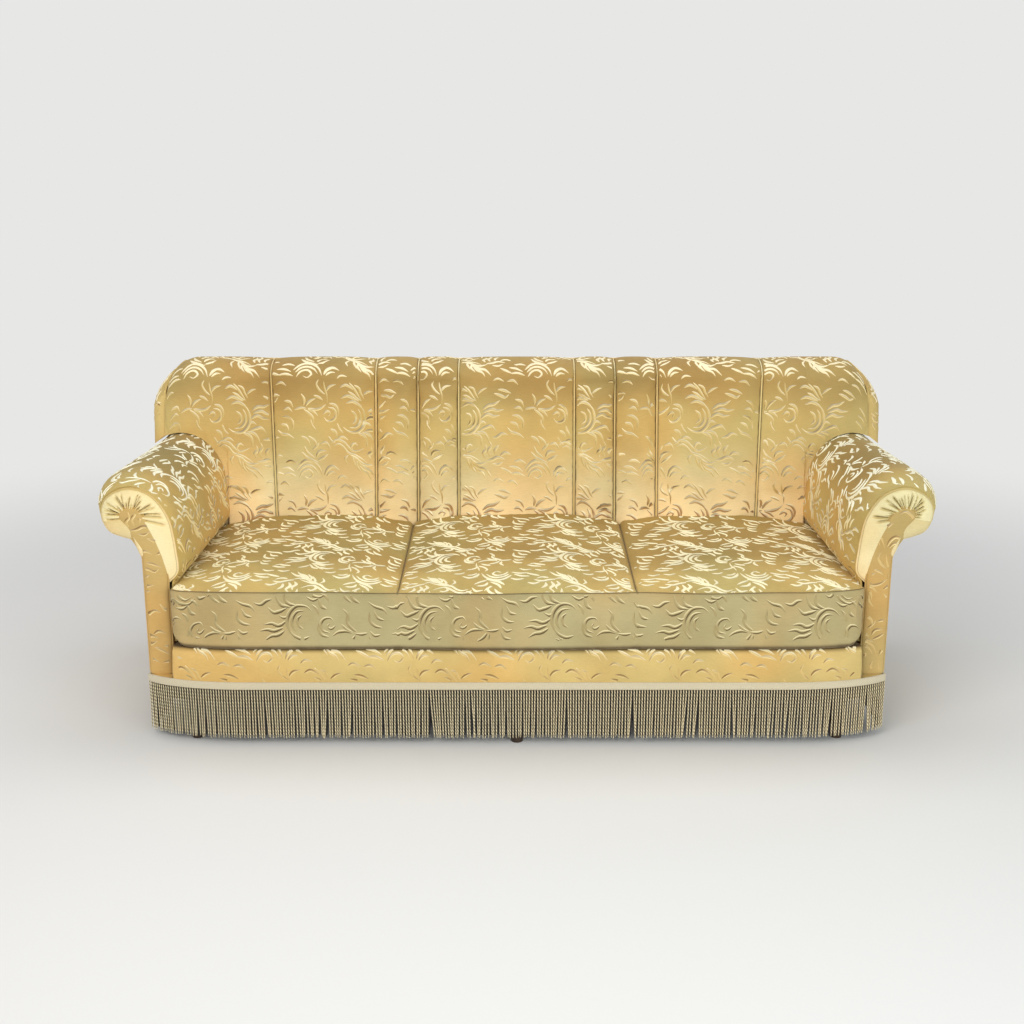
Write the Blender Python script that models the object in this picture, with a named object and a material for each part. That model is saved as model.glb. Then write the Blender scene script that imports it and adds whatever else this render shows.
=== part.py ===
"""Three-seater sofa with a sprung seat, a channelled back, rolled arms and a fringe to the floor.

Metres, +Z up. The sofa faces -Y, left and right are as seen from the front, and the origin is on
the floor at the middle of the footprint.
"""

import math

import bmesh
import bpy
from mathutils import Vector

# Whole sofa: half widths come outwards from the base's, and inwards to the seat's, and heights
# build up from the frame's underside
HALF_DEPTH = 0.455
BASE_HALF_WIDTH = 0.945
ARM_LEG_WIDTH = 0.062
SEAT_ARM_GAP = 0.008
BACK_FLARE = 0.105
SEAM_SHARE = 0.34057
FRAME_BOTTOM = 0.115
RAIL_HEIGHT = 0.139
SEAT_LIFT = 0.008
SEAT_HEIGHT = 0.153
FACE_DROP = 0.015
ARM_BREAK_LIFT = 0.015
ARM_FULL_RISE = 0.260
FIT = 0.0003
WELD = 0.00003
SHARP_ANGLE = 35
FLAT_ANGLE = 0.2
RAIL_TOP = FRAME_BOTTOM + RAIL_HEIGHT
SEAT_BOTTOM = RAIL_TOP + SEAT_LIFT
SEAT_EDGE_Z = SEAT_BOTTOM + SEAT_HEIGHT
ARM_BREAK_Z = SEAT_EDGE_Z + ARM_BREAK_LIFT
ARM_FULL_TOP = ARM_BREAK_Z + ARM_FULL_RISE
ARM_LEG_INNER_X = BASE_HALF_WIDTH - ARM_LEG_WIDTH
SEAT_HALF_WIDTH = ARM_LEG_INNER_X - SEAT_ARM_GAP
SEAM_X = SEAT_HALF_WIDTH * SEAM_SHARE
BACK_HALF_WIDTH = BASE_HALF_WIDTH + BACK_FLARE

# Front outline of the base, seen from above: straight, then an elliptical bend to each arm
SEAT_FRONT_REACH = 0.023
PLAN_BEND_START = 0.255
PLAN_BEND_LENGTH = 0.290
PLAN_BEND_DEPTH = 0.110
PLAN_STEPS = 7
PLAN_BEND_X = BASE_HALF_WIDTH - PLAN_BEND_START
PLAN_FRONT_Y = SEAT_FRONT_REACH - HALF_DEPTH

# Rake of the back: how far a plane leans for each metre of height
REAR_LEAN_SHARE = 0.1176
FACE_LEAN_SHARE = 0.198
BACK_DEPTH = 0.305
FACE_Y = HALF_DEPTH - BACK_DEPTH
FACE_Z = SEAT_EDGE_Z - FACE_DROP

# Back
BACK_RISE = 0.195
CREST_STEP = 0.002
CREST_DROP = 0.028
BACK_CORNER_WIDTH = 0.125
BACK_CORNER_HEIGHT = 0.098
OUTSIDE_PANEL = 0.006
BACK_TOP = ARM_FULL_TOP + BACK_RISE
BACK_REAR_TOP = BACK_TOP - CREST_DROP

# Inside back cover
CHANNEL_SHARES = (0.16461, 0.27994, 0.4002, 0.69)
CHANNEL_DEPTH = 0.016
CHANNEL_RISE = 0.005
SEAM_THICKNESS = 0.006
BORDER_WIDTH = 0.0355
COVER_CORNER = 0.090
COVER_LIFT = 0.010
CREST_DEPTH = 0.125
CREST_HEIGHT = 0.060
CREST_LINING = 0.014
CREST_STEPS = 4
FACE_STEPS = 3
ARM_CLEARANCE = 0.003
COVER_HALF_WIDTH = BACK_HALF_WIDTH - BORDER_WIDTH
COVER_BOTTOM = SEAT_BOTTOM + COVER_LIFT
CREST_Y = HALF_DEPTH - CREST_DEPTH
CHANNEL_SEAMS = tuple(COVER_HALF_WIDTH * share for share in CHANNEL_SHARES)

# Border round the back
BORDER_SETBACK = 0.012
BORDER_LINING = 0.0097
BORDER_ROUND = 0.010
BORDER_ROUND_SHARE = 0.5
BORDER_CLEARANCE = 0.006
BORDER_STEPS = 5

# Arms
ARM_SETBACK = 0.072
ARM_SIDE_SWELL = 0.0065
ARM_ROLL_REACH = 0.095
ARM_FRONT_FALL = 0.030
ARM_FULL_LEAN = 0.038
ARM_FULL_REACH = 0.1265
ARM_REAR_LEAN = 0.051
ARM_REAR_FALL = 0.015
ARM_SWELL_LENGTH = 0.120
ARM_STATIONS = 9
ARM_COVER_THICKNESS = 0.005
ARM_PADDING_THICKNESS = 0.022
ARM_PADDING_CLEARANCE = 0.003
ARM_NECK_LIFT = 0.050
FACING_THICKNESS = 0.0074
BAND_THICKNESS = 0.006
BAND_END_REACH = 0.028
BAND_END_SHARE = 0.69565
BAND_END_RADIUS = 0.026
BAND_END_ANGLES = (-60, 110)
BOARD_THICKNESS = 0.025
OUTSIDE_ARM_THICKNESS = 0.0095
ARM_RAIL_SETBACK = 0.020
ARM_RAIL_REACH = 0.050
ARM_RAIL_SHARE = 0.52
ARM_RAIL_LIFT = 0.0168
ARM_RAIL_HEIGHT = 0.024
TACK_RAIL_SETBACK = 0.027
TACK_RAIL_DROP = 0.030
ARM_TACK_RAIL_HEIGHT = 0.040
ARM_FRONT_Y = PLAN_FRONT_Y + ARM_SETBACK
ARM_REAR_TOP = ARM_FULL_TOP - ARM_REAR_FALL
ARM_FRONT_RISE = ARM_FULL_RISE - ARM_FRONT_FALL
ARM_NECK_Z = ARM_BREAK_Z + ARM_NECK_LIFT
BAND_END_Z = ARM_BREAK_Z + ARM_FRONT_RISE * BAND_END_SHARE
ARM_RAIL_Z = ARM_BREAK_Z + ARM_FULL_RISE * ARM_RAIL_SHARE + ARM_RAIL_LIFT
ARM_TACK_RAIL_Z = ARM_BREAK_Z - TACK_RAIL_DROP
ARM_SIDE_X = ARM_LEG_INNER_X - ARM_SIDE_SWELL
ARM_FULL_INNER_X = ARM_LEG_INNER_X - ARM_FULL_LEAN
ARM_FULL_OUTER_X = BASE_HALF_WIDTH + ARM_FULL_REACH
ARM_REAR_INNER_X = ARM_LEG_INNER_X - ARM_REAR_LEAN
ARM_FRONT_WIDTH = ARM_LEG_WIDTH + ARM_ROLL_REACH
BAND_END_X = BASE_HALF_WIDTH + BAND_END_REACH
ARM_RAIL_INNER_X = BASE_HALF_WIDTH - ARM_RAIL_SETBACK
ARM_RAIL_OUTER_X = BASE_HALF_WIDTH + ARM_RAIL_REACH
ARM_TACK_RAIL_INNER_X = ARM_LEG_INNER_X + TACK_RAIL_SETBACK

# Beech frame
RAIL_THICKNESS = 0.032
TONGUE_LENGTH = 0.030
TONGUE_SHARE = 0.3333
BLOCK_DEPTH = 0.040
BLOCK_SETBACK = 0.017
POST_THICKNESS = 0.035
POST_SETBACK = 0.004
SIDE_RAIL_SETBACK = 0.007
FOOT_SETBACK = 0.010
CROSS_RAIL_THICKNESS = 0.034
CROSS_RAIL_HEIGHT = 0.070
BOARD_INSET = 0.010
POST_CLEARANCE = 0.003
LOWER_BACK_RAIL_LIFT = 0.005
LOWER_BACK_RAIL_HEIGHT = 0.060
UPRIGHT_WIDTH = 0.050
STAY_SETBACK = 0.0270
BLOCK_REAR_Y = ARM_FRONT_Y + BLOCK_DEPTH
LOWER_BACK_RAIL_Z = SEAT_EDGE_Z + LOWER_BACK_RAIL_LIFT
BLOCK_UPPER_X = ARM_LEG_INNER_X - BLOCK_SETBACK
POST_INNER_X = ARM_LEG_INNER_X + POST_SETBACK
POST_FOOT_OUTER_X = BASE_HALF_WIDTH - FOOT_SETBACK
SIDE_RAIL_INNER_X = ARM_LEG_INNER_X + SIDE_RAIL_SETBACK
STAY_X = ARM_REAR_INNER_X - STAY_SETBACK

# Base border, a padded velvet strip over the front rail
BORDER_THICKNESS = 0.008
PANEL_SETBACK = 0.005
LEDGE_TOP = 0.172
FOLD_DEPTH = 0.040
FOLD_ROUND = 0.0025
PANEL_TOP = SEAT_BOTTOM - FIT
PANEL_END_X = ARM_LEG_INNER_X - PANEL_SETBACK

# The roll's outline, from the seat side over the top to the neck, in shares of its width and rise
ROLL_SHARES = (
    (-0.140, 0.070),
    (-0.127, 0.304),
    (-0.102, 0.461),
    (-0.045, 0.657),
    (0.108, 0.848),
    (0.299, 0.957),
    (0.548, 1.000),
    (0.777, 0.957),
    (0.936, 0.870),
    (1.000, 0.739),
    (0.968, 0.615),
    (0.873, 0.520),
    (0.700, 0.470),
    (0.529, 0.420),
)

# The band's seat-side edge, from its round end down, in shares of the leg's width and its own rise
BAND_SHARES = ((0.75, 0.93), (0.42, 0.76), (0.16, 0.48), (0.03, 0.18), (0.0, -0.1))

# The back's edge above the arm's neck, in shares of its flare and rise
FLANK_SHARES = ((0.0, 0.0), (0.15, 0.17), (0.45, 0.21), (0.77, 0.25), (0.94, 0.33), (1.0, 0.43))

# Seat
SEAT_CORNER = 0.020
SEAT_BOTTOM_ROUND = 0.045
SEAT_REAR_RISE = 0.018
SEAT_CROWN = 0.024
SEAT_EDGE_ROUND = 0.012
SEAT_CENTRE_BULGE = 0.012
SEAT_SIDE_BULGE = 0.004
SEAT_OVERHANG = 0.008
SEAT_BOXING_BOW = 0.003
SEAT_ROLL_SHARE = 0.22
SEAT_WALL = 0.009
SEAT_FRONT_WALL = 0.014
SEAT_HOLLOW_SETBACK = 0.042
SEAT_PAD_DROP = 0.017
SEAT_PAD_THICKNESS = 0.044
SEAT_ROWS = 8
SEAT_COLUMNS = 8
HESSIAN = 0.002
BACK_CLEARANCE = 0.001
SEAT_HOLLOW_REAR_Y = FACE_Y - SEAT_HOLLOW_SETBACK
SEAT_PAD_TOP = SEAT_EDGE_Z - SEAT_PAD_DROP

# Springs and webbing
WEBBING = 0.0025
STRAP_WIDTH = 0.050
SPRING_RADIUS = 0.046
SPRING_WAIST = 0.030
SPRING_TURNS = 4
SPRING_POINTS = 6
SPRING_WIRE = 0.0018
SPRING_SPREAD_SHARE = 0.16
SPRING_SETBACK = 0.167
SPRING_MARGIN = 0.007
BACK_STRAP_RISES = (0.225, 0.525, 0.825)
BACK_STRAP_SHARES = (0.18634, 0.54658, 0.81988)
STRAP_LIFT = 0.010
STRAP_DROP = 0.055
STRAP_LAP = 0.010
SPRING_SPREAD_X = SEAT_HALF_WIDTH * SPRING_SPREAD_SHARE
SPRING_FRONT_Y = PLAN_FRONT_Y + SPRING_SETBACK
SPRING_REAR_Y = SEAT_HOLLOW_REAR_Y - SPRING_RADIUS - SPRING_MARGIN
SPRING_ROW_Y = (SPRING_FRONT_Y, (SPRING_FRONT_Y + SPRING_REAR_Y) / 2, SPRING_REAR_Y)
BACK_STRAP_BOTTOM = LOWER_BACK_RAIL_Z + STRAP_LIFT
BACK_STRAP_TOP = BACK_TOP - STRAP_DROP
BACK_STRAP_Z = tuple(
    BACK_STRAP_BOTTOM + (BACK_STRAP_TOP - BACK_STRAP_BOTTOM) * rise for rise in BACK_STRAP_RISES
)
BACK_STRAP_X = tuple(STAY_X * share for share in BACK_STRAP_SHARES)
BACK_STRAP_END_X = STAY_X + STRAP_LAP

# Fringe
FRINGE_PITCH = 0.0165
FRINGE_HEADER = 0.020
FRINGE_DEPTH = 0.005
FRINGE_BOTTOM = 0.020
FRINGE_CORNER = 0.010
FRINGE_CORD_SHARE = 0.68
STRAND_TAPER_SHARE = 0.85

# Feet and dust cover
DUST_COVER = 0.0012
DUST_MARGIN = 0.006
FRONT_FOOT_SETBACK = 0.053
FOOT_SETBACK_Y = 0.057
FOOT_SPIGOT_RADIUS = 0.009
FOOT_SPIGOT_LENGTH = 0.040
FOOT_SEAT_RADIUS = 0.024
FOOT_TOE_RADIUS = 0.015
FOOT_NECK_RADIUS_SHARE = 0.75
FOOT_NECK_SHARE = 0.82
FOOT_COLLAR_SHARE = 0.90
FOOT_SIDES = 12
OVERRUN = 0.010
FOOT_X = ARM_LEG_INNER_X - FRONT_FOOT_SETBACK
FOOT_FRONT_Y = PLAN_FRONT_Y + FOOT_SETBACK_Y
FOOT_REAR_X = (POST_INNER_X + POST_FOOT_OUTER_X) / 2

# Colours, linear, as red, green and blue
BEECH = (0.56, 0.36, 0.19)
GOLD_VELVET = (0.62, 0.43, 0.14)
OLIVE_VELVET = (0.44, 0.33, 0.13)
PALE_BRAID = (0.72, 0.63, 0.43)
JUTE = (0.45, 0.33, 0.18)
HAIR = (0.16, 0.11, 0.07)
STEEL = (0.55, 0.56, 0.58)
BLACK_CAMBRIC = (0.03, 0.03, 0.03)

for leftover in list(bpy.data.objects):
    bpy.data.objects.remove(leftover, do_unlink=True)


def finish(name, bm, colour, roughness, metallic=0.0, smooth=False):
    """Makes a named object of a bmesh, with its own material."""
    bmesh.ops.recalc_face_normals(bm, faces=bm.faces)
    mesh = bpy.data.meshes.new(name)
    bm.to_mesh(mesh)
    bm.free()
    if smooth:
        mesh.shade_smooth()
        mesh.set_sharp_from_angle(angle=math.radians(SHARP_ANGLE))
    piece = bpy.data.objects.new(name, mesh)
    bpy.context.scene.collection.objects.link(piece)
    surface = bpy.data.materials.new(name)
    surface.use_nodes = True
    shader = surface.node_tree.nodes["Principled BSDF"]
    shader.inputs["Base Color"].default_value = (*colour, 1.0)
    shader.inputs["Roughness"].default_value = roughness
    shader.inputs["Metallic"].default_value = metallic
    mesh.materials.append(surface)
    return piece


def loft(rings):
    """Joins rings of equally many points into one closed body, by extruding the first ring on."""
    bm = bmesh.new()
    face = bm.faces.new([bm.verts.new(point) for point in rings[0]])
    for number, ring in enumerate(rings[1:]):
        grown = bmesh.ops.extrude_face_region(bm, geom=[face])["geom"]
        if number:
            bmesh.ops.delete(bm, geom=[face], context="FACES_ONLY")
        face = next(item for item in grown if isinstance(item, bmesh.types.BMFace))
        for vert, point in zip(face.verts, ring):
            vert.co = point
    return bm


def prism(outline, low, high):
    """A plan outline of (x, y) points, raised from low to high."""
    return loft([[Vector((x, y, z)) for x, y in outline] for z in (low, high)])


def slab(outline, near, far):
    """An outline of (x, z) points between two planes that give y for a height."""
    return loft([[Vector((x, plane(z), z)) for x, z in outline] for plane in (near, far)])


def rear_plane(inset):
    """The raked rear face of the back, moved forwards by inset."""
    return lambda z: HALF_DEPTH - REAR_LEAN_SHARE * (BACK_REAR_TOP - z) - inset


def face_plane(inset):
    """The raked front face of the back, moved to the rear by inset."""
    return lambda z: FACE_Y + FACE_LEAN_SHARE * (z - FACE_Z) + inset


def flipped(outline, side):
    """An outline of (x, other) points on the side asked for, where 1 is the right."""
    return [(side * x, other) for x, other in outline]


def plan_angle(x, inset=0.0):
    """How far round the elliptical bend the plan outline reaches x."""
    return math.asin(max(0.0, min(1.0, (x - PLAN_BEND_X) / (PLAN_BEND_LENGTH - inset))))


def plan_point(angle, inset=0.0):
    """A point of the right-hand bend of the plan outline, moved inwards by inset."""
    x = PLAN_BEND_X + (PLAN_BEND_LENGTH - inset) * math.sin(angle)
    y = PLAN_FRONT_Y + inset + (PLAN_BEND_DEPTH - inset) * (1 - math.cos(angle))
    return x, y


def plan_bend(end_x, inset, start_angle=0.0):
    """Points along the right-hand bend, from its start to end_x."""
    end = plan_angle(end_x, inset)
    steps = range(PLAN_STEPS + 1)
    return [plan_point(start_angle + (end - start_angle) * step / PLAN_STEPS, inset) for step in steps]


def plan_y(x, inset=0.0):
    """The plan outline's y at x."""
    return plan_point(plan_angle(abs(x), inset), inset)[1]


# Beech frame: rails round the base, with tongues into the front blocks

frame_front_inset = FRINGE_DEPTH + FIT + BORDER_THICKNESS + FIT
rail_front_y = PLAN_FRONT_Y + frame_front_inset
rail_rear_y = rail_front_y + RAIL_THICKNESS
tongue_near_y = rail_front_y + RAIL_THICKNESS * TONGUE_SHARE
tongue_far_y = rail_rear_y - RAIL_THICKNESS * TONGUE_SHARE
post_front = rear_plane(OUTSIDE_PANEL + FIT + POST_THICKNESS)
post_rear = rear_plane(OUTSIDE_PANEL + FIT)
block_low_top = LEDGE_TOP - BORDER_THICKNESS - FIT


def front_rail():
    half = PLAN_BEND_X
    tip = PLAN_BEND_X + TONGUE_LENGTH
    right = [
        (half, rail_front_y),
        (half, tongue_near_y),
        (tip, tongue_near_y),
        (tip, tongue_far_y),
        (half, tongue_far_y),
        (half, rail_rear_y),
    ]
    outline = right + [(-x, y) for x, y in reversed(right)]
    return finish("front_rail", prism(outline, FRAME_BOTTOM, RAIL_TOP), BEECH, 0.6)


def front_block(side, name):
    """A corner block: the lower part follows the base, the upper part stops beside the arm."""
    start = PLAN_BEND_X + FIT
    slot = PLAN_BEND_X + TONGUE_LENGTH + FIT
    bend = plan_bend(BLOCK_UPPER_X, frame_front_inset)
    bend[0] = (start, bend[0][1])
    turn = plan_angle(BLOCK_UPPER_X, frame_front_inset)
    end = plan_angle(POST_FOOT_OUTER_X, frame_front_inset)
    low_end = [plan_point(turn + (end - turn) * step / 3, frame_front_inset) for step in (1, 2, 3)]
    low_end.append((POST_FOOT_OUTER_X, BLOCK_REAR_Y))
    upper_y = bend[-1][1]
    high_end = [(BLOCK_UPPER_X, upper_y + (BLOCK_REAR_Y - upper_y) * step / 5) for step in (1, 2, 3, 4)]
    joint = [
        (BLOCK_UPPER_X, BLOCK_REAR_Y),
        (start, BLOCK_REAR_Y),
        (start, tongue_far_y + FIT),
        (slot, tongue_far_y + FIT),
        (slot, tongue_near_y - FIT),
        (start, tongue_near_y - FIT),
    ]
    low = flipped(bend + low_end + joint, side)
    high = flipped(bend + high_end + joint, side)
    levels = ((low, FRAME_BOTTOM), (low, block_low_top), (high, block_low_top), (high, RAIL_TOP))
    bm = loft([[Vector((x, y, z)) for x, y in points] for points, z in levels])
    bmesh.ops.remove_doubles(bm, verts=bm.verts, dist=WELD)
    return finish(name, bm, BEECH, 0.6)


def side_rail(side, name):
    outline = [
        (SIDE_RAIL_INNER_X, FRAME_BOTTOM),
        (POST_FOOT_OUTER_X - FIT, FRAME_BOTTOM),
        (POST_FOOT_OUTER_X - FIT, RAIL_TOP),
        (SIDE_RAIL_INNER_X, RAIL_TOP),
    ]
    rear = rear_plane(OUTSIDE_PANEL + FIT + POST_THICKNESS + FIT)
    bm = slab(flipped(outline, side), lambda z: BLOCK_REAR_Y + FIT, rear)
    return finish(name, bm, BEECH, 0.6)


def back_rail():
    half = POST_INNER_X - FIT
    outline = [(-half, FRAME_BOTTOM), (half, FRAME_BOTTOM), (half, RAIL_TOP), (-half, RAIL_TOP)]
    return finish("back_rail", slab(outline, post_front, post_rear), BEECH, 0.6)


def cross_rail(side, name):
    half = CROSS_RAIL_THICKNESS / 2
    top = FRAME_BOTTOM + CROSS_RAIL_HEIGHT
    outline = [
        (SEAM_X - half, FRAME_BOTTOM),
        (SEAM_X + half, FRAME_BOTTOM),
        (SEAM_X + half, top),
        (SEAM_X - half, top),
    ]
    rear = rear_plane(OUTSIDE_PANEL + FIT + POST_THICKNESS + FIT)
    bm = slab(flipped(outline, side), lambda z: rail_rear_y + FIT, rear)
    return finish(name, bm, BEECH, 0.6)


# The arm's outline: the roll and the leg below it


def roll_point(share, inner_x, outer_x, top):
    """A point of the roll, where its width runs from inner_x to outer_x and it rises to top."""
    first = ROLL_SHARES[0][0]
    across = (share[0] - first) / (1 - first)
    return (
        inner_x + (outer_x - inner_x) * across,
        ARM_BREAK_Z + (top - ARM_BREAK_Z) * share[1],
    )


def roll(inner_x, outer_x, top):
    return [roll_point(share, inner_x, outer_x, top) for share in ROLL_SHARES]


def front_limits():
    """The inner side, outer side and top of the roll at the arm's front."""
    inner = ARM_LEG_INNER_X + ARM_FRONT_WIDTH * ROLL_SHARES[0][0]
    return inner, ARM_LEG_INNER_X + ARM_FRONT_WIDTH, ARM_BREAK_Z + ARM_FRONT_RISE


def full_limits(y):
    """The inner side, outer side and top of the swelled roll at y."""
    rearward = (y - ARM_FRONT_Y) / (HALF_DEPTH - ARM_FRONT_Y)
    inner = ARM_FULL_INNER_X + (ARM_REAR_INNER_X - ARM_FULL_INNER_X) * rearward
    outer = ARM_FULL_OUTER_X + (BACK_HALF_WIDTH - ARM_FULL_OUTER_X) * rearward
    top = ARM_FULL_TOP + (ARM_REAR_TOP - ARM_FULL_TOP) * rearward
    return inner, outer, top


def height_on(path, x):
    """The height of a path's upper side at x."""
    heights = [path[0][1]]
    for (x0, z0), (x1, z1) in zip(path, path[1:]):
        if x0 <= x <= x1 and x0 < x1:
            heights.append(z0 + (z1 - z0) * (x - x0) / (x1 - x0))
    return max(heights)


def moved_inwards(path, distance):
    """A path moved to its right by a distance; an end keeps the direction of its only stretch."""
    moved = []
    for number, (x, z) in enumerate(path):
        before = path[max(0, number - 1)]
        after = path[min(len(path) - 1, number + 1)]
        along_x = after[0] - before[0]
        along_z = after[1] - before[1]
        length = math.hypot(along_x, along_z)
        moved.append((x + distance * along_z / length, z - distance * along_x / length))
    return moved


def arm_path(y):
    """The arm cover's path at y: up the seat side, over the roll, and under it to the neck."""
    swell = 1 - (1 - min(1.0, (y - ARM_FRONT_Y) / ARM_SWELL_LENGTH)) ** 2
    welt = roll(*front_limits())
    full = roll(*full_limits(y))
    path = [(a[0] + (b[0] - a[0]) * swell, a[1] + (b[1] - a[1]) * swell) for a, b in zip(welt, full)]
    foot = [(ARM_SIDE_X, RAIL_TOP + FIT), (ARM_SIDE_X, ARM_BREAK_Z - ARM_COVER_THICKNESS)]
    return foot + path + [(BASE_HALF_WIDTH, ARM_NECK_Z)]


BOARD_FRONT_Y = ARM_FRONT_Y + FACING_THICKNESS + FIT
BOARD_REAR_Y = BOARD_FRONT_Y + BOARD_THICKNESS


def front_outline(inset, bottom):
    """The closed outline of the arm's front, moved inwards by inset."""
    leg_in = [(ARM_LEG_INNER_X, bottom), (ARM_LEG_INNER_X, ARM_BREAK_Z - SEAT_EDGE_ROUND)]
    leg_out = [(BASE_HALF_WIDTH, ARM_NECK_Z), (BASE_HALF_WIDTH, bottom)]
    return moved_inwards(leg_in + roll(*front_limits()) + leg_out, inset)


def arm_front_board(side, name):
    outline = front_outline(BOARD_INSET, block_low_top + FIT)
    bm = slab(flipped(outline, side), lambda z: BOARD_FRONT_Y, lambda z: BOARD_REAR_Y)
    return finish(name, bm, BEECH, 0.6)


def arm_facing(side, name):
    outline = front_outline(FIT, LEDGE_TOP + FIT)
    bm = slab(flipped(outline, side), lambda z: ARM_FRONT_Y, lambda z: BOARD_FRONT_Y - FIT)
    return finish(name, bm, GOLD_VELVET, 0.8)


def arm_band(side, name):
    """The raised band up the front of the arm, which curls outwards to a round end in the scroll."""
    outer = [(BASE_HALF_WIDTH, LEDGE_TOP + FIT), (BASE_HALF_WIDTH, ARM_NECK_Z)]
    under = roll_point(ROLL_SHARES[-1], *front_limits())
    start, end = BAND_END_ANGLES
    tip = []
    for step in range(BORDER_STEPS + 1):
        angle = math.radians(start + (end - start) * step / BORDER_STEPS)
        x = BAND_END_X + BAND_END_RADIUS * math.cos(angle)
        z = BAND_END_Z + BAND_END_RADIUS * math.sin(angle)
        tip.append((x, z))
    width = BASE_HALF_WIDTH - ARM_LEG_INNER_X
    rise = BAND_END_Z - ARM_BREAK_Z
    inner = [(ARM_LEG_INNER_X + width * across, ARM_BREAK_Z + rise * up) for across, up in BAND_SHARES]
    outline = outer + [under] + tip + inner + [(ARM_LEG_INNER_X, LEDGE_TOP + FIT)]
    far = ARM_FRONT_Y - FIT
    bm = slab(flipped(outline, side), lambda z: far - BAND_THICKNESS, lambda z: far)
    return finish(name, bm, GOLD_VELVET, 0.8)


def arm_stations(start, rear):
    """Places along the arm, closer together where the roll swells behind the facing."""
    length = rear(ARM_NECK_Z) - start
    shares = [(step / (ARM_STATIONS - 1)) ** 1.6 for step in range(ARM_STATIONS)]
    return [(start + length * share, share) for share in shares]


def arm_shell(side, name, start, rear, outside, thickness, colour):
    """A C-shaped layer of the arm, from a distance under the cover's face to a thickness below."""
    rings = []
    for y, share in arm_stations(start, rear):
        path = arm_path(y)
        outer = moved_inwards(path, outside) if outside else path
        inner = moved_inwards(path, outside + thickness)
        ring = []
        for x, z in outer + inner[::-1]:
            shift = (rear(z) - rear(ARM_NECK_Z)) * share
            ring.append(Vector((side * x, y + shift, z)))
        rings.append(ring)
    return finish(name, loft(rings), colour, 0.85, smooth=True)


def arm_board(side, name, inner_x, outer_x, low, height):
    """A rail of the arm, from the front board to the rear post."""
    outline = [(inner_x, low), (outer_x, low), (outer_x, low + height), (inner_x, low + height)]
    rear = rear_plane(OUTSIDE_PANEL + FIT + POST_THICKNESS + FIT)
    bm = slab(flipped(outline, side), lambda z: BOARD_REAR_Y + FIT, rear)
    return finish(name, bm, BEECH, 0.6)


def outside_arm(side, name):
    inner = BASE_HALF_WIDTH - OUTSIDE_ARM_THICKNESS
    outline = [
        (inner, FRAME_BOTTOM),
        (BASE_HALF_WIDTH, FRAME_BOTTOM),
        (BASE_HALF_WIDTH, ARM_NECK_Z - ARM_COVER_THICKNESS),
        (inner, ARM_NECK_Z - ARM_COVER_THICKNESS),
    ]
    bm = slab(flipped(outline, side), lambda z: BOARD_FRONT_Y, rear_plane(OUTSIDE_PANEL + FIT))
    return finish(name, bm, GOLD_VELVET, 0.85)


# The back


def back_corner(share, inset=0.0):
    """A point of the back's upper right corner, from the side at 0 to the top at 1."""
    angle = math.pi / 2 * share
    x = BACK_HALF_WIDTH - BACK_CORNER_WIDTH + (BACK_CORNER_WIDTH - inset) * math.cos(angle)
    z = corner_z + (BACK_CORNER_HEIGHT - inset) * math.sin(angle)
    return x, z


def behind_crest(y):
    """Height of the back's upper side at y, falling from the crest to the rear."""
    return BACK_TOP - CREST_STEP - (CREST_DROP - CREST_STEP) * (y - CREST_Y) / CREST_DEPTH


def back_flank(inset):
    """The back's right edge from the base up to its corner: the leg, then out beside the roll."""
    foot = BASE_HALF_WIDTH - inset
    flare = BACK_HALF_WIDTH - BASE_HALF_WIDTH
    rise = BACK_REAR_TOP - BACK_CORNER_HEIGHT - ARM_NECK_Z
    low = ARM_NECK_Z + inset
    flank = [(foot + flare * across, low + rise * up) for across, up in FLANK_SHARES]
    return [(foot, FRAME_BOTTOM)] + flank


def back_curve(inset):
    return [back_corner(step / BORDER_STEPS, inset) for step in range(BORDER_STEPS + 1)]


def both_sides(right):
    """A right-hand half outline, closed with its mirror image."""
    return right + [(-x, z) for x, z in reversed(right)]


def outside_back():
    outline = both_sides(back_flank(FIT) + back_curve(FIT))
    bm = slab(outline, rear_plane(OUTSIDE_PANEL), rear_plane(0.0))
    return finish("outside_back", bm, GOLD_VELVET, 0.85)


def rear_post(side, name):
    """The post inside the arm: up its leg, then filling the roll."""
    inside = moved_inwards(arm_path(HALF_DEPTH), ARM_COVER_THICKNESS + POST_CLEARANCE)
    top = height_on(inside, POST_INNER_X) - POST_CLEARANCE
    head = [(x, z) for x, z in inside if x > POST_INNER_X]
    outline = [(POST_INNER_X, FRAME_BOTTOM), (POST_INNER_X, top)] + head[:-1]
    outline += [(POST_FOOT_OUTER_X, ARM_NECK_Z), (POST_FOOT_OUTER_X, FRAME_BOTTOM)]
    return finish(name, slab(flipped(outline, side), post_front, post_rear), BEECH, 0.6)


def back_ear(side, name):
    """The board of the back above the arm, out to the back's edge."""
    inner = STAY_X + UPRIGHT_WIDTH / 2 + FIT
    outer = BACK_HALF_WIDTH - BOARD_INSET
    seat = [(x, z + FIT) for x, z in arm_crest_path() if inner < x < outer][2:]
    outline = [(inner, corner_z), (inner, seat[0][1])] + seat
    outline += [(outer, arm_crest(outer) + FIT), (outer, corner_z)]
    return finish(name, slab(flipped(outline, side), post_front, post_rear), BEECH, 0.6)


def back_top_rail():
    curve = back_curve(BOARD_INSET)
    curve[0] = (curve[0][0], corner_z + FIT)
    return finish("back_top_rail", slab(both_sides(curve), post_front, post_rear), BEECH, 0.6)


def back_lower_rail():
    half = STAY_X - UPRIGHT_WIDTH / 2 - FIT
    top = LOWER_BACK_RAIL_Z + LOWER_BACK_RAIL_HEIGHT
    outline = both_sides([(half, LOWER_BACK_RAIL_Z), (half, top)])
    return finish("back_lower_rail", slab(outline, post_front, post_rear), BEECH, 0.6)


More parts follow.
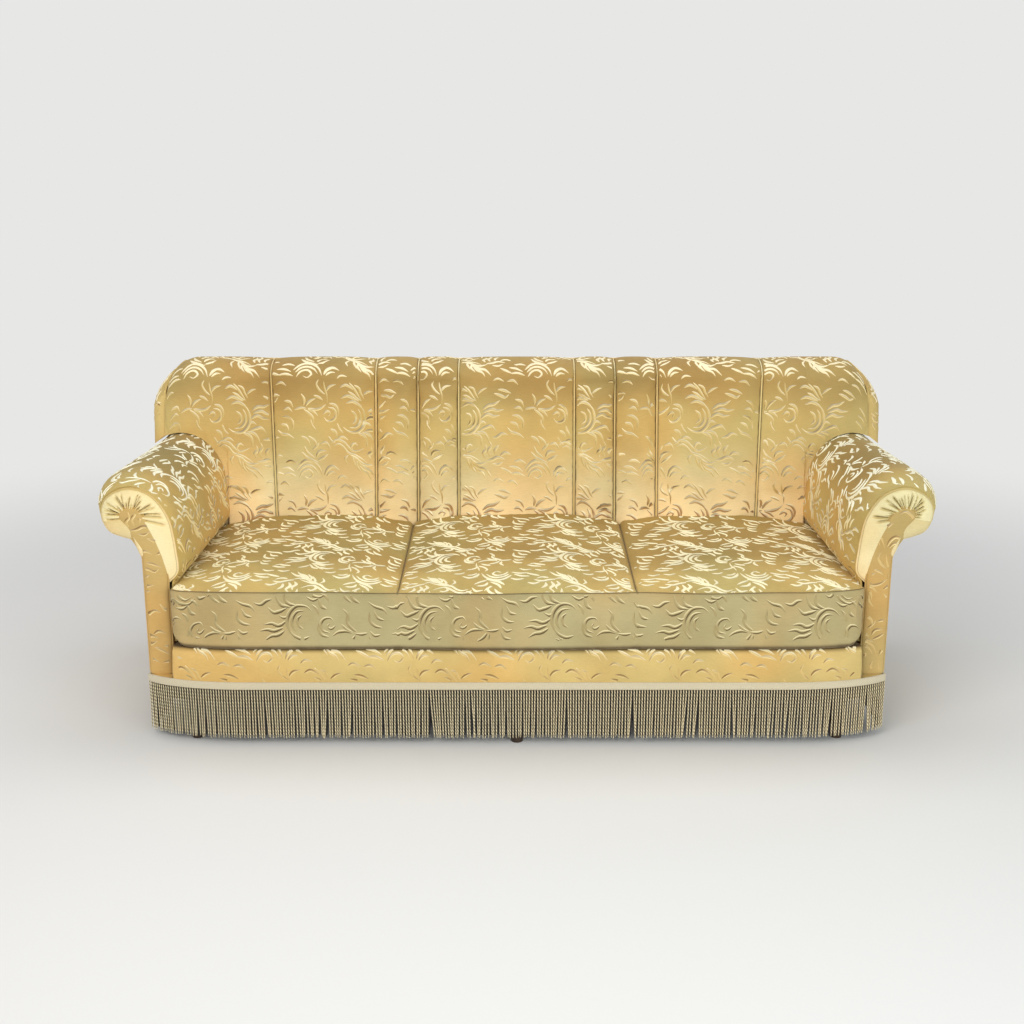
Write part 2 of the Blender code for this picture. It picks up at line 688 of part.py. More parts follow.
def back_upright(side, name, centre, low):
    """An upright of the back, from a rail at low to the top rail."""
    near, far = centre - UPRIGHT_WIDTH / 2, centre + UPRIGHT_WIDTH / 2
    outline = [(near, low), (far, low), (far, corner_z), (near, corner_z)]
    return finish(name, slab(flipped(outline, side), post_front, post_rear), BEECH, 0.6)


def arm_crest_path():
    """The upper side of the widest roll under the back, moved out by the clearance."""
    inner, outer, top = full_limits(FACE_Y)
    path = moved_inwards(roll(ARM_REAR_INNER_X, outer, top), -ARM_CLEARANCE)
    last = max(range(len(path)), key=lambda number: path[number][0])
    return path[: last + 1]


def arm_crest(x):
    """The least height of the back where it sits on the arm at x."""
    return height_on(arm_crest_path(), abs(x))


def cover_bottom(x):
    return COVER_BOTTOM if abs(x) <= notch_x else arm_crest(x)


def channel_place(x):
    """Where x lies in its channel, from -1 at one seam through 0 at the crown to 1 at the other."""
    edges = (-CHANNEL_SEAMS[0],) + CHANNEL_SEAMS + (COVER_HALF_WIDTH,)
    place = abs(x)
    for low, high in zip(edges, edges[1:]):
        if place <= high:
            return (2 * place - low - high) / (high - low)
    return 1.0


def cover_top(x):
    past = max(0.0, abs(x) - (COVER_HALF_WIDTH - COVER_CORNER)) / COVER_CORNER
    corner = COVER_CORNER * (1 - math.sqrt(max(0.0, 1 - past**2)))
    return BACK_TOP - corner


def back_path(x, inset, dip, sink):
    """The inside back in section at x: up its face, then over the crest to the border."""
    low = cover_bottom(x)
    top = cover_top(x)
    turn = top - CREST_HEIGHT
    face = face_plane(inset + dip)
    path = []
    for step in range(FACE_STEPS):
        z = low + (turn - low) * step / FACE_STEPS
        path.append((face(z), z))
    reach = CREST_Y - face(turn)
    height = CREST_HEIGHT - sink
    for step in range(CREST_STEPS + 1):
        angle = math.pi / 2 * step / CREST_STEPS
        path.append((CREST_Y - reach * math.cos(angle), turn + height * math.sin(angle)))
    return path


def back_stations(channelled):
    """Places across the back: four to a channel, then the arm notch and the rounded corner."""
    half = [0.0]
    if channelled:
        edges = (-CHANNEL_SEAMS[0],) + CHANNEL_SEAMS
        for low, high in zip(edges, CHANNEL_SEAMS):
            places = [low + (high - low) * step / 4 for step in range(1, 5)]
            half += [place for place in places if place > FIT]
    last = half[-1]
    half += [last + (notch_x - last) * step / 3 for step in range(1, 4)]
    bend = COVER_HALF_WIDTH - COVER_CORNER
    half.append(notch_x + 2 * FIT)
    half += [x for x, z in arm_crest_path() if notch_x + 4 * FIT < x < bend - FIT]
    half += [bend + COVER_CORNER * math.sin(math.pi / 2 * step / 4) for step in range(5)]
    return [-x for x in reversed(half[1:])] + half


def inside_back_cover():
    """Nine stuffed channels in one cover, which is plain behind and rolls over the crest."""
    rings = []
    for x in back_stations(True):
        drop = abs(channel_place(x)) ** 3
        outer = back_path(x, 0.0, CHANNEL_DEPTH * drop, CHANNEL_RISE * drop)
        inner = back_path(x, CHANNEL_DEPTH + SEAM_THICKNESS, 0.0, CREST_LINING)
        rings.append([Vector((x, y, z)) for y, z in outer + inner[::-1]])
    return finish("inside_back_cover", loft(rings), GOLD_VELVET, 0.85, smooth=True)


def back_padding():
    """Hair and cotton between the cover and the webbing."""
    rings = []
    rear = rear_plane(OUTSIDE_PANEL + POST_THICKNESS + WEBBING + 4 * FIT)
    for x in back_stations(False):
        inset = CHANNEL_DEPTH + SEAM_THICKNESS + 3 * FIT
        outer = back_path(x, inset, 0.0, CREST_LINING + 3 * FIT)
        crest = outer[-1][1]
        crest -= behind_crest(CREST_Y) - behind_crest(rear(crest))
        behind = [(rear(z), z) for z in (crest, outer[0][1])]
        rings.append([Vector((x, y, z)) for y, z in outer + behind])
    return finish("back_padding", loft(rings), HAIR, 0.95)


def back_border_side(side, name):
    """The velvet strip up one side of the back and round its corner."""
    rear = rear_plane(OUTSIDE_PANEL + FIT)
    step_plane = rear_plane(OUTSIDE_PANEL + POST_THICKNESS + 2 * FIT)
    side_plane = face_plane(BORDER_SETBACK)
    bend_x = COVER_HALF_WIDTH - COVER_CORNER
    radius = COVER_CORNER + FIT
    rings = []
    for step in range(-1, BORDER_STEPS + 1):
        share = max(0, step) / BORDER_STEPS
        angle = math.pi / 2 * share
        rim = back_corner(share)
        under = back_corner(share, BORDER_LINING)
        turned = max(0.0, 2 * share - 1)
        sunk = turned * (CREST_STEP + FIT + BORDER_LINING)
        inner_z = BACK_TOP - COVER_CORNER + radius * math.sin(angle) - sunk
        inner = (bend_x + radius * math.cos(angle), inner_z)
        middle = ((rim[0] + inner[0]) / 2, (rim[1] + inner[1]) / 2)
        if step < 0:
            corners = (rim, under, inner, middle)
            rim, under, inner, middle = ((x, arm_crest(x) + BORDER_CLEARANCE) for x, z in corners)
        retreat = min(1.0, 2 * share)
        rise = (CREST_DROP - CREST_STEP) * share
        fall = turned * (behind_crest(CREST_Y) - behind_crest(step_plane(inner[1])))
        brow = (rim[0], rim[1] + rise)
        middle = (middle[0], middle[1] + rise / 2)
        lower = (inner[0], inner[1] - fall)

        def front(z):
            return side_plane(z) + (CREST_Y + FIT - side_plane(z)) * retreat

        ring = [
            (brow, front(rim[1]) + BORDER_ROUND),
            (rim, rear(rim[1])),
            (under, rear(under[1])),
            (under, step_plane(under[1])),
            (lower, step_plane(lower[1])),
            (inner, front(inner[1])),
            (middle, front(middle[1])),
        ]
        rings.append([Vector((side * x, y, z)) for (x, z), y in ring])
    return finish(name, loft(rings), GOLD_VELVET, 0.85, smooth=True)


def back_border_top():
    """The velvet strip along the top, behind the crest."""
    half = COVER_HALF_WIDTH - COVER_CORNER - FIT
    front = CREST_Y + FIT
    back = rear_plane(OUTSIDE_PANEL + FIT)(BACK_REAR_TOP - BORDER_LINING)
    upper = [(front, 0.0), (back - BORDER_ROUND, 0.0), (back, BORDER_ROUND * BORDER_ROUND_SHARE)]
    corners = upper + [(back, BORDER_LINING), (front, BORDER_LINING)]
    section = [(y, behind_crest(y) - depth) for y, depth in corners]
    rings = [[Vector((x, y, z)) for y, z in section] for x in (-half, half)]
    return finish("back_border_top", loft(rings), GOLD_VELVET, 0.85)


# Webbing: straps woven into one lattice, tacked under the rails and across the back


def lattice(wide_straps, wide_ends, deep_straps, deep_ends):
    """Crossing straps as one flat sheet; wide straps run along its first coordinate."""
    half = STRAP_WIDTH / 2
    first = sorted({*wide_ends, *(place + edge for place in deep_straps for edge in (-half, half))})
    second = sorted({*deep_ends, *(place + edge for place in wide_straps for edge in (-half, half))})
    bm = bmesh.new()
    verts = {(a, b): bm.verts.new((a, b, 0.0)) for a in first for b in second}
    for a0, a1 in zip(first, first[1:]):
        for b0, b1 in zip(second, second[1:]):
            a, b = (a0 + a1) / 2, (b0 + b1) / 2
            wide = any(abs(b - place) < half for place in wide_straps) and wide_ends[0] < a < wide_ends[1]
            deep = any(abs(a - place) < half for place in deep_straps) and deep_ends[0] < b < deep_ends[1]
            if wide or deep:
                bm.faces.new([verts[a0, b0], verts[a1, b0], verts[a1, b1], verts[a0, b1]])
    bmesh.ops.delete(bm, geom=[vert for vert in bm.verts if not vert.link_faces], context="VERTS")
    return bm


def thickened(bm, near, far):
    """Gives a flat sheet its thickness: near and far place a point of either face."""
    grown = bmesh.ops.extrude_face_region(bm, geom=bm.faces[:], use_keep_orig=True)["geom"]
    lifted = {item for item in grown if isinstance(item, bmesh.types.BMVert)}
    for vert in bm.verts:
        vert.co = far(vert.co) if vert in lifted else near(vert.co)
    return bm


def seat_webbing():
    columns = [centre + edge for centre in section_centres for edge in (-SPRING_SPREAD_X, SPRING_SPREAD_X)]
    side = SIDE_RAIL_INNER_X + STRAP_WIDTH / 2
    rear = (post_front(FRAME_BOTTOM) + post_rear(FRAME_BOTTOM)) / 2
    front = rail_front_y + RAIL_THICKNESS * TONGUE_SHARE
    bm = lattice(SPRING_ROW_Y, (-side, side), columns, (front, rear))
    top = FRAME_BOTTOM - FIT
    thickened(bm, lambda co: (co.x, co.y, top - WEBBING), lambda co: (co.x, co.y, top))
    return finish("seat_webbing", bm, JUTE, 0.9)


def back_webbing():
    rear = rear_plane(OUTSIDE_PANEL + POST_THICKNESS + 2 * FIT)
    front = rear_plane(OUTSIDE_PANEL + POST_THICKNESS + 2 * FIT + WEBBING)
    columns = [side * place for place in BACK_STRAP_X for side in (-1, 1)]
    ends = (-BACK_STRAP_END_X, BACK_STRAP_END_X)
    bm = lattice(BACK_STRAP_Z, ends, columns, (BACK_STRAP_BOTTOM, BACK_STRAP_TOP))
    thickened(bm, lambda co: (co.x, front(co.y), co.y), lambda co: (co.x, rear(co.y), co.y))
    return finish("back_webbing", bm, JUTE, 0.9)


# Springs: waisted coils joined by their own wire, one unit under each seat section


def tube(points, radius, sides=3):
    """A closed tube along a path."""
    rings = []
    for number, point in enumerate(points):
        before = points[max(0, number - 1)]
        after = points[min(len(points) - 1, number + 1)]
        turn = (after - before).to_track_quat("Z", "Y")
        angles = [math.tau * step / sides for step in range(sides)]
        rings.append([point + turn @ Vector((math.cos(a), math.sin(a), 0.0)) * radius for a in angles])
    return loft(rings)


def spring_unit(centre_x, name):
    """Six coils wound in one wire, up one coil and down the next."""
    near, middle, far = SPRING_ROW_Y
    left, right = centre_x - SPRING_SPREAD_X, centre_x + SPRING_SPREAD_X
    order = [(left, near, -90, 90), (left, middle, -90, 90), (left, far, -90, 0)]
    order += [(right, far, 180, 270), (right, middle, 90, 270), (right, near, 90, 270)]
    low = FRAME_BOTTOM + SPRING_WIRE + FIT
    high = hessian_low - SPRING_WIRE - FIT
    points = []
    for number, (x, y, start, end) in enumerate(order):
        sweep = math.radians(end - start) + math.tau * SPRING_TURNS
        steps = SPRING_TURNS * SPRING_POINTS
        for step in range(steps + 1):
            share = step / steps
            angle = math.radians(start) + sweep * share
            radius = SPRING_RADIUS - (SPRING_RADIUS - SPRING_WAIST) * math.sin(math.pi * share)
            rise = share if number % 2 == 0 else 1 - share
            place = (x + radius * math.cos(angle), y + radius * math.sin(angle), low + (high - low) * rise)
            points.append(Vector(place))
    return finish(name, tube(points, SPRING_WIRE), STEEL, 0.4, metallic=1.0)


# Seat


def seat_section_place(x):
    """Where x lies across its seat section, from -1 to 1."""
    place = abs(x)
    if place <= SEAM_X:
        return place / SEAM_X
    return (2 * place - SEAM_X - SEAT_HALF_WIDTH) / (SEAT_HALF_WIDTH - SEAM_X)


def seat_front(x):
    """The y of the seat's front at x: each section bows out a little, the ends follow the base."""
    bulge = SEAT_CENTRE_BULGE if abs(x) <= SEAM_X else SEAT_SIDE_BULGE
    front = plan_y(x, -SEAT_OVERHANG) - bulge * (1 - seat_section_place(x) ** 2)
    past = max(0.0, abs(x) - (SEAT_HALF_WIDTH - SEAT_CORNER)) / SEAT_CORNER
    return front + SEAT_CORNER * (1 - math.sqrt(max(0.0, 1 - past**2)))


def seat_low(x):
    past = max(0.0, abs(x) - (SEAT_HALF_WIDTH - SEAT_BOTTOM_ROUND)) / SEAT_BOTTOM_ROUND
    return SEAT_BOTTOM + SEAT_BOTTOM_ROUND * (1 - math.sqrt(max(0.0, 1 - past**2)))


def seat_height(x, share):
    """The top of the seat at x, where share runs from its front at 0 to its rear at 1."""
    crown = SEAT_CROWN * (1 - seat_section_place(x) ** 2)
    swell = 1 - (1 - min(1.0, share / SEAT_ROLL_SHARE)) ** 2
    level = 1 - (abs(x) / SEAT_HALF_WIDTH) ** 4
    return SEAT_EDGE_Z + crown * swell + SEAT_REAR_RISE * share * level


def seat_stations():
    half = [SEAM_X * step / (SEAT_COLUMNS / 2) for step in range(SEAT_COLUMNS // 2 + 1)]
    bend = SEAT_HALF_WIDTH - SEAT_CORNER
    half += [SEAM_X + (bend - SEAM_X) * step / SEAT_COLUMNS for step in range(1, SEAT_COLUMNS + 1)]
    half += [bend + SEAT_CORNER * math.sin(math.pi / 2 * step / 3) for step in range(1, 4)]
    return [-x for x in reversed(half[1:])] + half


def seat_cover():
    """Three crowned sections over one boxing, hollow underneath for the padding and springs."""
    rear = face_plane(-BACK_CLEARANCE)
    rings = []
    for x in seat_stations():
        front = seat_front(x)
        low = seat_low(x)
        middle = (low + SEAT_EDGE_Z) / 2
        ring = [(rear(low), low), (front + SEAT_EDGE_ROUND, low), (front, low + SEAT_EDGE_ROUND)]
        ring += [(front - SEAT_BOXING_BOW, middle), (front, SEAT_EDGE_Z)]
        for row in range(1, SEAT_ROWS + 1):
            share = (row / SEAT_ROWS) ** 1.4
            z = seat_height(x, share)
            ring.append((front + (rear(z) - front) * share, z))
        rings.append([Vector((x, y, z)) for y, z in ring])
    piece = finish("seat_cover", loft(rings), OLIVE_VELVET, 0.85, smooth=True)
    cut(piece, prism(seat_hollow(0.0), FRAME_BOTTOM, SEAT_PAD_TOP + FIT), "seat_hollow")
    return piece


def seat_hollow(inset):
    """The plan of the space under the seat cover."""
    end = SEAT_HALF_WIDTH - SEAT_WALL - inset
    right = plan_bend(end, SEAT_FRONT_WALL + inset) + [(end, SEAT_HOLLOW_REAR_Y - inset)]
    return [(-x, y) for x, y in reversed(right)] + right


def cut(piece, bm, name):
    """Cuts a hidden shape out of a piece."""
    bmesh.ops.recalc_face_normals(bm, faces=bm.faces)
    mesh = bpy.data.meshes.new(name)
    bm.to_mesh(mesh)
    bm.free()
    cutter = bpy.data.objects.new(name, mesh)
    bpy.context.scene.collection.objects.link(cutter)
    cutter.hide_render = True
    cutter.display_type = "WIRE"
    take_out(piece, cutter)
    return cutter


def take_out(piece, cutter):
    step = piece.modifiers.new(cutter.name, "BOOLEAN")
    step.operation = "DIFFERENCE"
    step.solver = "EXACT"
    step.object = cutter


def seat_padding():
    low = SEAT_PAD_TOP - SEAT_PAD_THICKNESS
    return finish("seat_padding", prism(seat_hollow(FIT), low, SEAT_PAD_TOP), HAIR, 0.95)


def seat_hessian():
    bm = prism(seat_hollow(FIT), hessian_low, hessian_low + HESSIAN)
    return finish("seat_hessian", bm, JUTE, 0.95)


def base_border():
    """The padded velvet strip over the front rail, with a ledge under each arm's band."""
    outer_inset = FRINGE_DEPTH + FIT
    inner_inset = outer_inset + BORDER_THICKNESS
    end = plan_angle(BASE_HALF_WIDTH - FIT, outer_inset)
    stop = plan_angle(PANEL_END_X, outer_inset)
    ledge_rear = ARM_FRONT_Y - BAND_THICKNESS - 2 * FIT
    places = [(stop * step / PLAN_STEPS, True) for step in range(PLAN_STEPS + 1)]
    past = plan_angle(PANEL_END_X + FIT, outer_inset)
    places += [(past + (end - past) * step / 3, False) for step in range(4)]
    rings = []
    for side, route in ((-1, places[::-1]), (1, places)):
        for angle, tall in route:
            x, y = plan_point(angle, outer_inset)
            inner_x, inner_y = plan_point(angle, inner_inset)
            top = PANEL_TOP if tall else LEDGE_TOP
            fold_low = RAIL_TOP + FIT if tall else block_low_top + FIT
            fold_y = y + FOLD_DEPTH if tall else ledge_rear
            fold_y = max(fold_y, inner_y)
            ring = [
                (x, y, FRAME_BOTTOM),
                (x, y, top - FOLD_ROUND),
                (x, y + FOLD_ROUND, top),
                (x, fold_y, top),
                (x, fold_y, fold_low),
                (inner_x, inner_y, fold_low),
                (inner_x, inner_y, FRAME_BOTTOM),
            ]
            rings.append([Vector((side * a, b, c)) for a, b, c in ring])
    bm = loft(rings)
    bmesh.ops.remove_doubles(bm, verts=bm.verts, dist=WELD)
    return finish("base_border", bm, GOLD_VELVET, 0.85)


# Fringe: a woven header with hanging cords


def fringe(name, path):
    """Cords under a header; path gives the outer and inner point of the header for a distance."""
    outer, inner = path
    length = outer[-1][0]
    count = max(1, round(length / FRINGE_PITCH))
    gap = length * (1 - FRINGE_CORD_SHARE) / (count + 1)
    cord = length * FRINGE_CORD_SHARE / count
    places = [0.0]
    for number in range(count):
        places += [gap + (gap + cord) * number, (gap + cord) * (number + 1)]
    places.append(length)
    low = LEDGE_TOP - FRINGE_HEADER
    bm = bmesh.new()
    rows = []
    for place in places:
        rows.append([bm.verts.new((*along(route, place), low)) for route in (outer, inner)])
    faces = []
    for first, second in zip(rows, rows[1:]):
        faces.append(bm.faces.new([first[0], second[0], second[1], first[1]]))
    cords = faces[1::2]
    grown = bmesh.ops.extrude_face_region(bm, geom=faces, use_keep_orig=True)["geom"]
    for item in grown:
        if isinstance(item, bmesh.types.BMVert):
            item.co.z = LEDGE_TOP
    for cord in cords:
        middle = cord.calc_center_median()
        hung = bmesh.ops.extrude_discrete_faces(bm, faces=[cord])["faces"][0]
        for vert in hung.verts:
            vert.co.x = middle.x + (vert.co.x - middle.x) * STRAND_TAPER_SHARE
            vert.co.y = middle.y + (vert.co.y - middle.y) * STRAND_TAPER_SHARE
            vert.co.z = FRINGE_BOTTOM
    flat = math.radians(FLAT_ANGLE)
    header_edges = [edge for edge in bm.edges if max(vert.co.z for vert in edge.verts) > low + FIT]
    top_verts = [vert for vert in bm.verts if vert.co.z > low + FIT]
    bmesh.ops.dissolve_limit(bm, angle_limit=flat, verts=top_verts, edges=header_edges)
    return finish(name, bm, PALE_BRAID, 0.9)


def along(route, place):
    """The point at a distance along a route of (distance, x, y) entries."""
    for (d0, x0, y0), (d1, x1, y1) in zip(route, route[1:]):
        if place <= d1:
            share = (place - d0) / (d1 - d0)
            return x0 + (x1 - x0) * share, y0 + (y1 - y0) * share
    return route[-1][1:]


def measured(outer, inner):
    """Adds the distance along the outer points to both rows of points."""
    total = 0.0
    far, near = [], []
    for number, (a, b) in enumerate(zip(outer, inner)):
        if number:
            total += math.dist(outer[number - 1], a)
        far.append((total, *a))
        near.append((total, *b))
    return far, near


def front_fringe_path():
    end = plan_angle(fringe_half)
    angles = [end * step / (3 * PLAN_STEPS) for step in range(3 * PLAN_STEPS + 1)]
    rows = []
    for inset in (0.0, FRINGE_DEPTH):
        right = [plan_point(angle, inset) for angle in angles]
        rows.append([(-x, y) for x, y in reversed(right)] + right)
    return measured(*rows)


def side_fringe_path(side):
    front = plan_y(fringe_half, 0.0) + FRINGE_CORNER
    rear = fringe_rear_y + FRINGE_DEPTH
    outer = [(side * fringe_half, front), (side * fringe_half, rear)]
    inner = [(side * (fringe_half - FRINGE_DEPTH), front), (side * (fringe_half - FRINGE_DEPTH), rear)]
    return measured(outer, inner)


def rear_fringe_path():
    half = fringe_half - FRINGE_DEPTH - FIT
    outer = [(-half, fringe_rear_y + FRINGE_DEPTH), (half, fringe_rear_y + FRINGE_DEPTH)]
    inner = [(-half, fringe_rear_y), (half, fringe_rear_y)]
    return measured(outer, inner)


# Feet and dust cover


def foot_profile():
    """Half the foot in section, from its toe up to the end of its spigot."""
    neck = FOOT_TOE_RADIUS + (FOOT_SEAT_RADIUS - FOOT_TOE_RADIUS) * FOOT_NECK_RADIUS_SHARE
    return [
        (0.0, 0.0),
        (FOOT_TOE_RADIUS, 0.0),
        (neck, foot_top * FOOT_NECK_SHARE),
        (FOOT_SEAT_RADIUS, foot_top * FOOT_COLLAR_SHARE),
        (FOOT_SEAT_RADIUS, foot_top),
        (FOOT_SPIGOT_RADIUS, foot_top),
        (FOOT_SPIGOT_RADIUS, FRAME_BOTTOM + FOOT_SPIGOT_LENGTH),
        (0.0, FRAME_BOTTOM + FOOT_SPIGOT_LENGTH),
    ]


def turned(profile, x, y, sides):
    """A profile of (radius, z) points turned about an upright axis at x, y."""
    bm = bmesh.new()
    verts = [bm.verts.new((x + radius, y, z)) for radius, z in profile]
    edges = [bm.edges.new(pair) for pair in zip(verts, verts[1:])]
    bmesh.ops.spin(
        bm,
        geom=verts + edges,
        cent=(x, y, 0.0),
        axis=(0.0, 0.0, 1.0),
        angle=math.tau,
        steps=sides,
        use_merge=True,
    )
    bmesh.ops.remove_doubles(bm, verts=bm.verts, dist=WELD)
    return bm


def dust_cover():
    end = POST_FOOT_OUTER_X - DUST_MARGIN
    right = plan_bend(end, frame_front_inset + DUST_MARGIN)
    right.append((end, post_rear(FRAME_BOTTOM) - DUST_MARGIN))
    outline = [(-x, y) for x, y in reversed(right)] + right
    top = FRAME_BOTTOM - WEBBING - 2 * FIT
    return finish("dust_cover", prism(outline, top - DUST_COVER, top), BLACK_CAMBRIC, 0.95)


# Assembly

corner_z = BACK_REAR_TOP - BACK_CORNER_HEIGHT
notch_x = arm_crest_path()[0][0]
hessian_low = SEAT_PAD_TOP - SEAT_PAD_THICKNESS - FIT - HESSIAN
section_centres = (-(SEAM_X + SEAT_HALF_WIDTH) / 2, 0.0, (SEAM_X + SEAT_HALF_WIDTH) / 2)
fringe_half = BASE_HALF_WIDTH + FRINGE_DEPTH + FIT
fringe_rear_y = rear_plane(0.0)(LEDGE_TOP) + FIT
foot_top = FRAME_BOTTOM - WEBBING - DUST_COVER - 3 * FIT

rail = front_rail()
rear_rail = back_rail()
blocks = []
posts = []
for side, hand in ((-1, "left"), (1, "right")):
    blocks.append(front_block(side, f"front_corner_block_{hand}"))
    posts.append(rear_post(side, f"rear_post_{hand}"))
    side_rail(side, f"side_rail_{hand}")
    cross_rail(side, f"cross_rail_{hand}")
    upright_low = LOWER_BACK_RAIL_Z + LOWER_BACK_RAIL_HEIGHT + FIT
    back_upright(side, f"back_upright_{hand}", SEAM_X, upright_low)
    back_upright(side, f"back_stay_{hand}", STAY_X, RAIL_TOP + FIT)
    back_ear(side, f"back_ear_{hand}")
    arm_front_board(side, f"arm_front_board_{hand}")
    arm_board(side, f"arm_top_rail_{hand}", ARM_RAIL_INNER_X, ARM_RAIL_OUTER_X, ARM_RAIL_Z, ARM_RAIL_HEIGHT)
    tack_outer_x = BASE_HALF_WIDTH - OUTSIDE_ARM_THICKNESS - FIT
    arm_board(
        side,
        f"arm_lower_rail_{hand}",
        ARM_TACK_RAIL_INNER_X,
        tack_outer_x,
        ARM_TACK_RAIL_Z,
        ARM_TACK_RAIL_HEIGHT,
    )
    cover_rear = rear_plane(OUTSIDE_PANEL + FIT)
    arm_shell(side, f"arm_cover_{hand}", BOARD_FRONT_Y, cover_rear, 0.0, ARM_COVER_THICKNESS, OLIVE_VELVET)
    under = ARM_COVER_THICKNESS + ARM_PADDING_CLEARANCE
    stuffing_rear = rear_plane(OUTSIDE_PANEL + POST_THICKNESS + 2 * FIT)
    padding_start = BOARD_REAR_Y + FIT
    arm_shell(side, f"arm_padding_{hand}", padding_start, stuffing_rear, under, ARM_PADDING_THICKNESS, HAIR)
    outside_arm(side, f"outside_arm_{hand}")
    arm_facing(side, f"arm_facing_{hand}")
    arm_band(side, f"arm_band_{hand}")
    back_border_side(side, f"back_border_{hand}")
    fringe(f"fringe_{hand}", side_fringe_path(side))
back_top_rail()
back_lower_rail()
outside_back()
inside_back_cover()
back_padding()
back_border_top()
seat_webbing()
back_webbing()
for centre, place in zip(section_centres, ("left", "centre", "right")):
    spring_unit(centre, f"seat_springs_{place}")
seat_cover()
seat_padding()
seat_hessian()
base_border()
fringe("fringe_front", front_fringe_path())
fringe("fringe_rear", rear_fringe_path())
cambric = dust_cover()

rail_middle_y = (rail_front_y + rail_rear_y) / 2
post_middle_y = (post_front(FRAME_BOTTOM) + post_rear(FRAME_BOTTOM)) / 2
foot_places = {
    "foot_front_left": (-FOOT_X, FOOT_FRONT_Y, blocks[0]),
    "foot_front_centre": (0.0, rail_middle_y, rail),
    "foot_front_right": (FOOT_X, FOOT_FRONT_Y, blocks[1]),
    "foot_rear_left": (-FOOT_REAR_X, post_middle_y, posts[0]),
    "foot_rear_centre": (0.0, post_middle_y, rear_rail),
    "foot_rear_right": (FOOT_REAR_X, post_middle_y, posts[1]),
}
for name, (x, y, carrier) in foot_places.items():
    finish(name, turned(foot_profile(), x, y, FOOT_SIDES), BEECH, 0.5, smooth=True)
    socket = FOOT_SPIGOT_RADIUS + FIT
    depth = FRAME_BOTTOM + FOOT_SPIGOT_LENGTH + FIT
    start = foot_top - OVERRUN
    profile = [(0.0, start), (socket, start), (socket, depth), (0.0, depth)]
    bore = turned(profile, x, y, FOOT_SIDES)
    take_out(cambric, cut(carrier, bore, f"{name}_socket"))
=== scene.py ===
"""Three-seater sofa in foliate gold velvet, dressed over its CAD frame.

Metres, +Z up. The sofa faces -Y, left and right are as seen from the front.
"""

import math
import random

import bpy
import numpy as np
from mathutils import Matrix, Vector


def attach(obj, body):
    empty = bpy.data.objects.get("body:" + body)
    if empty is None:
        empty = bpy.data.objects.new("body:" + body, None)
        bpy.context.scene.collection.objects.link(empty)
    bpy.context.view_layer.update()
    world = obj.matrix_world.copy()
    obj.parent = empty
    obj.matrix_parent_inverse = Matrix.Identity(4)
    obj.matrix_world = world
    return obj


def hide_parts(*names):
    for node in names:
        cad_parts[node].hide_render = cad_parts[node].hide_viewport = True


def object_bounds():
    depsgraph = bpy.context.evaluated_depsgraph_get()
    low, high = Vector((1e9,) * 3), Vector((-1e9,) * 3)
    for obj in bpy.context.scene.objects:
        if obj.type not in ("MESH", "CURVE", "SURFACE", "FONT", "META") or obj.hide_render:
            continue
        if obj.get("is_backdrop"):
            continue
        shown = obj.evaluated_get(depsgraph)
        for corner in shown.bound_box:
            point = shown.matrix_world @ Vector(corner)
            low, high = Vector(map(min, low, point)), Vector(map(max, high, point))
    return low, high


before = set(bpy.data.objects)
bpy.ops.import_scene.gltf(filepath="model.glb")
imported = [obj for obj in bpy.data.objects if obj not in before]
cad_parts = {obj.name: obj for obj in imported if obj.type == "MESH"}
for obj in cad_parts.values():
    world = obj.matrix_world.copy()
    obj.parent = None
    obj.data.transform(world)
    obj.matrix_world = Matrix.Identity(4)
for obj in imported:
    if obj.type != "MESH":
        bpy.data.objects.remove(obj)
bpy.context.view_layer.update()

# Frame: planed beech rails, posts, uprights, stays, blocks and boards, dowelled and glued together.
# They are the CAD's own solids in bare wood, with flecked grain. The covers hide them from all
# sides, and the feet and the fringe's bottom edge are all that shows below.


class Value:
    """A socket of a node tree that takes part in sums."""

    def __init__(self, tree, socket):
        self.tree = tree
        self.socket = socket

    def math(self, operation, *others, clamp=False):
        inputs = dict(enumerate((self, *others)))
        return add(self.tree, "ShaderNodeMath", 0, inputs, operation=operation, use_clamp=clamp)

    def __add__(self, other):
        return self.math("ADD", other)

    __radd__ = __add__

    def __mul__(self, other):
        return self.math("MULTIPLY", other)

    __rmul__ = __mul__

    def between(self, low, high):
        """0 up to low, 1 from high, and smooth in between."""
        inputs = {"Value": self, "From Min": low, "From Max": high}
        return add(self.tree, "ShaderNodeMapRange", "Result", inputs, interpolation_type="SMOOTHSTEP")


def put(tree, socket, item):
    """Links a value to a socket, or sets the socket to a number or a colour."""
    if isinstance(item, Value):
        tree.links.new(item.socket, socket)
    elif isinstance(item, (tuple, list)) and len(item) == 3 and socket.type == "RGBA":
        socket.default_value = (*item, 1.0)
    else:
        socket.default_value = item


def add(tree, kind, output, inputs=None, **settings):
    """A new node with its settings made first and its sockets filled next; gives one output."""
    node = tree.nodes.new(kind)
    for key, value in settings.items():
        setattr(node, key, value)
    for key, value in (inputs or {}).items():
        put(tree, node.inputs[key], value)
    return Value(tree, node.outputs[output])


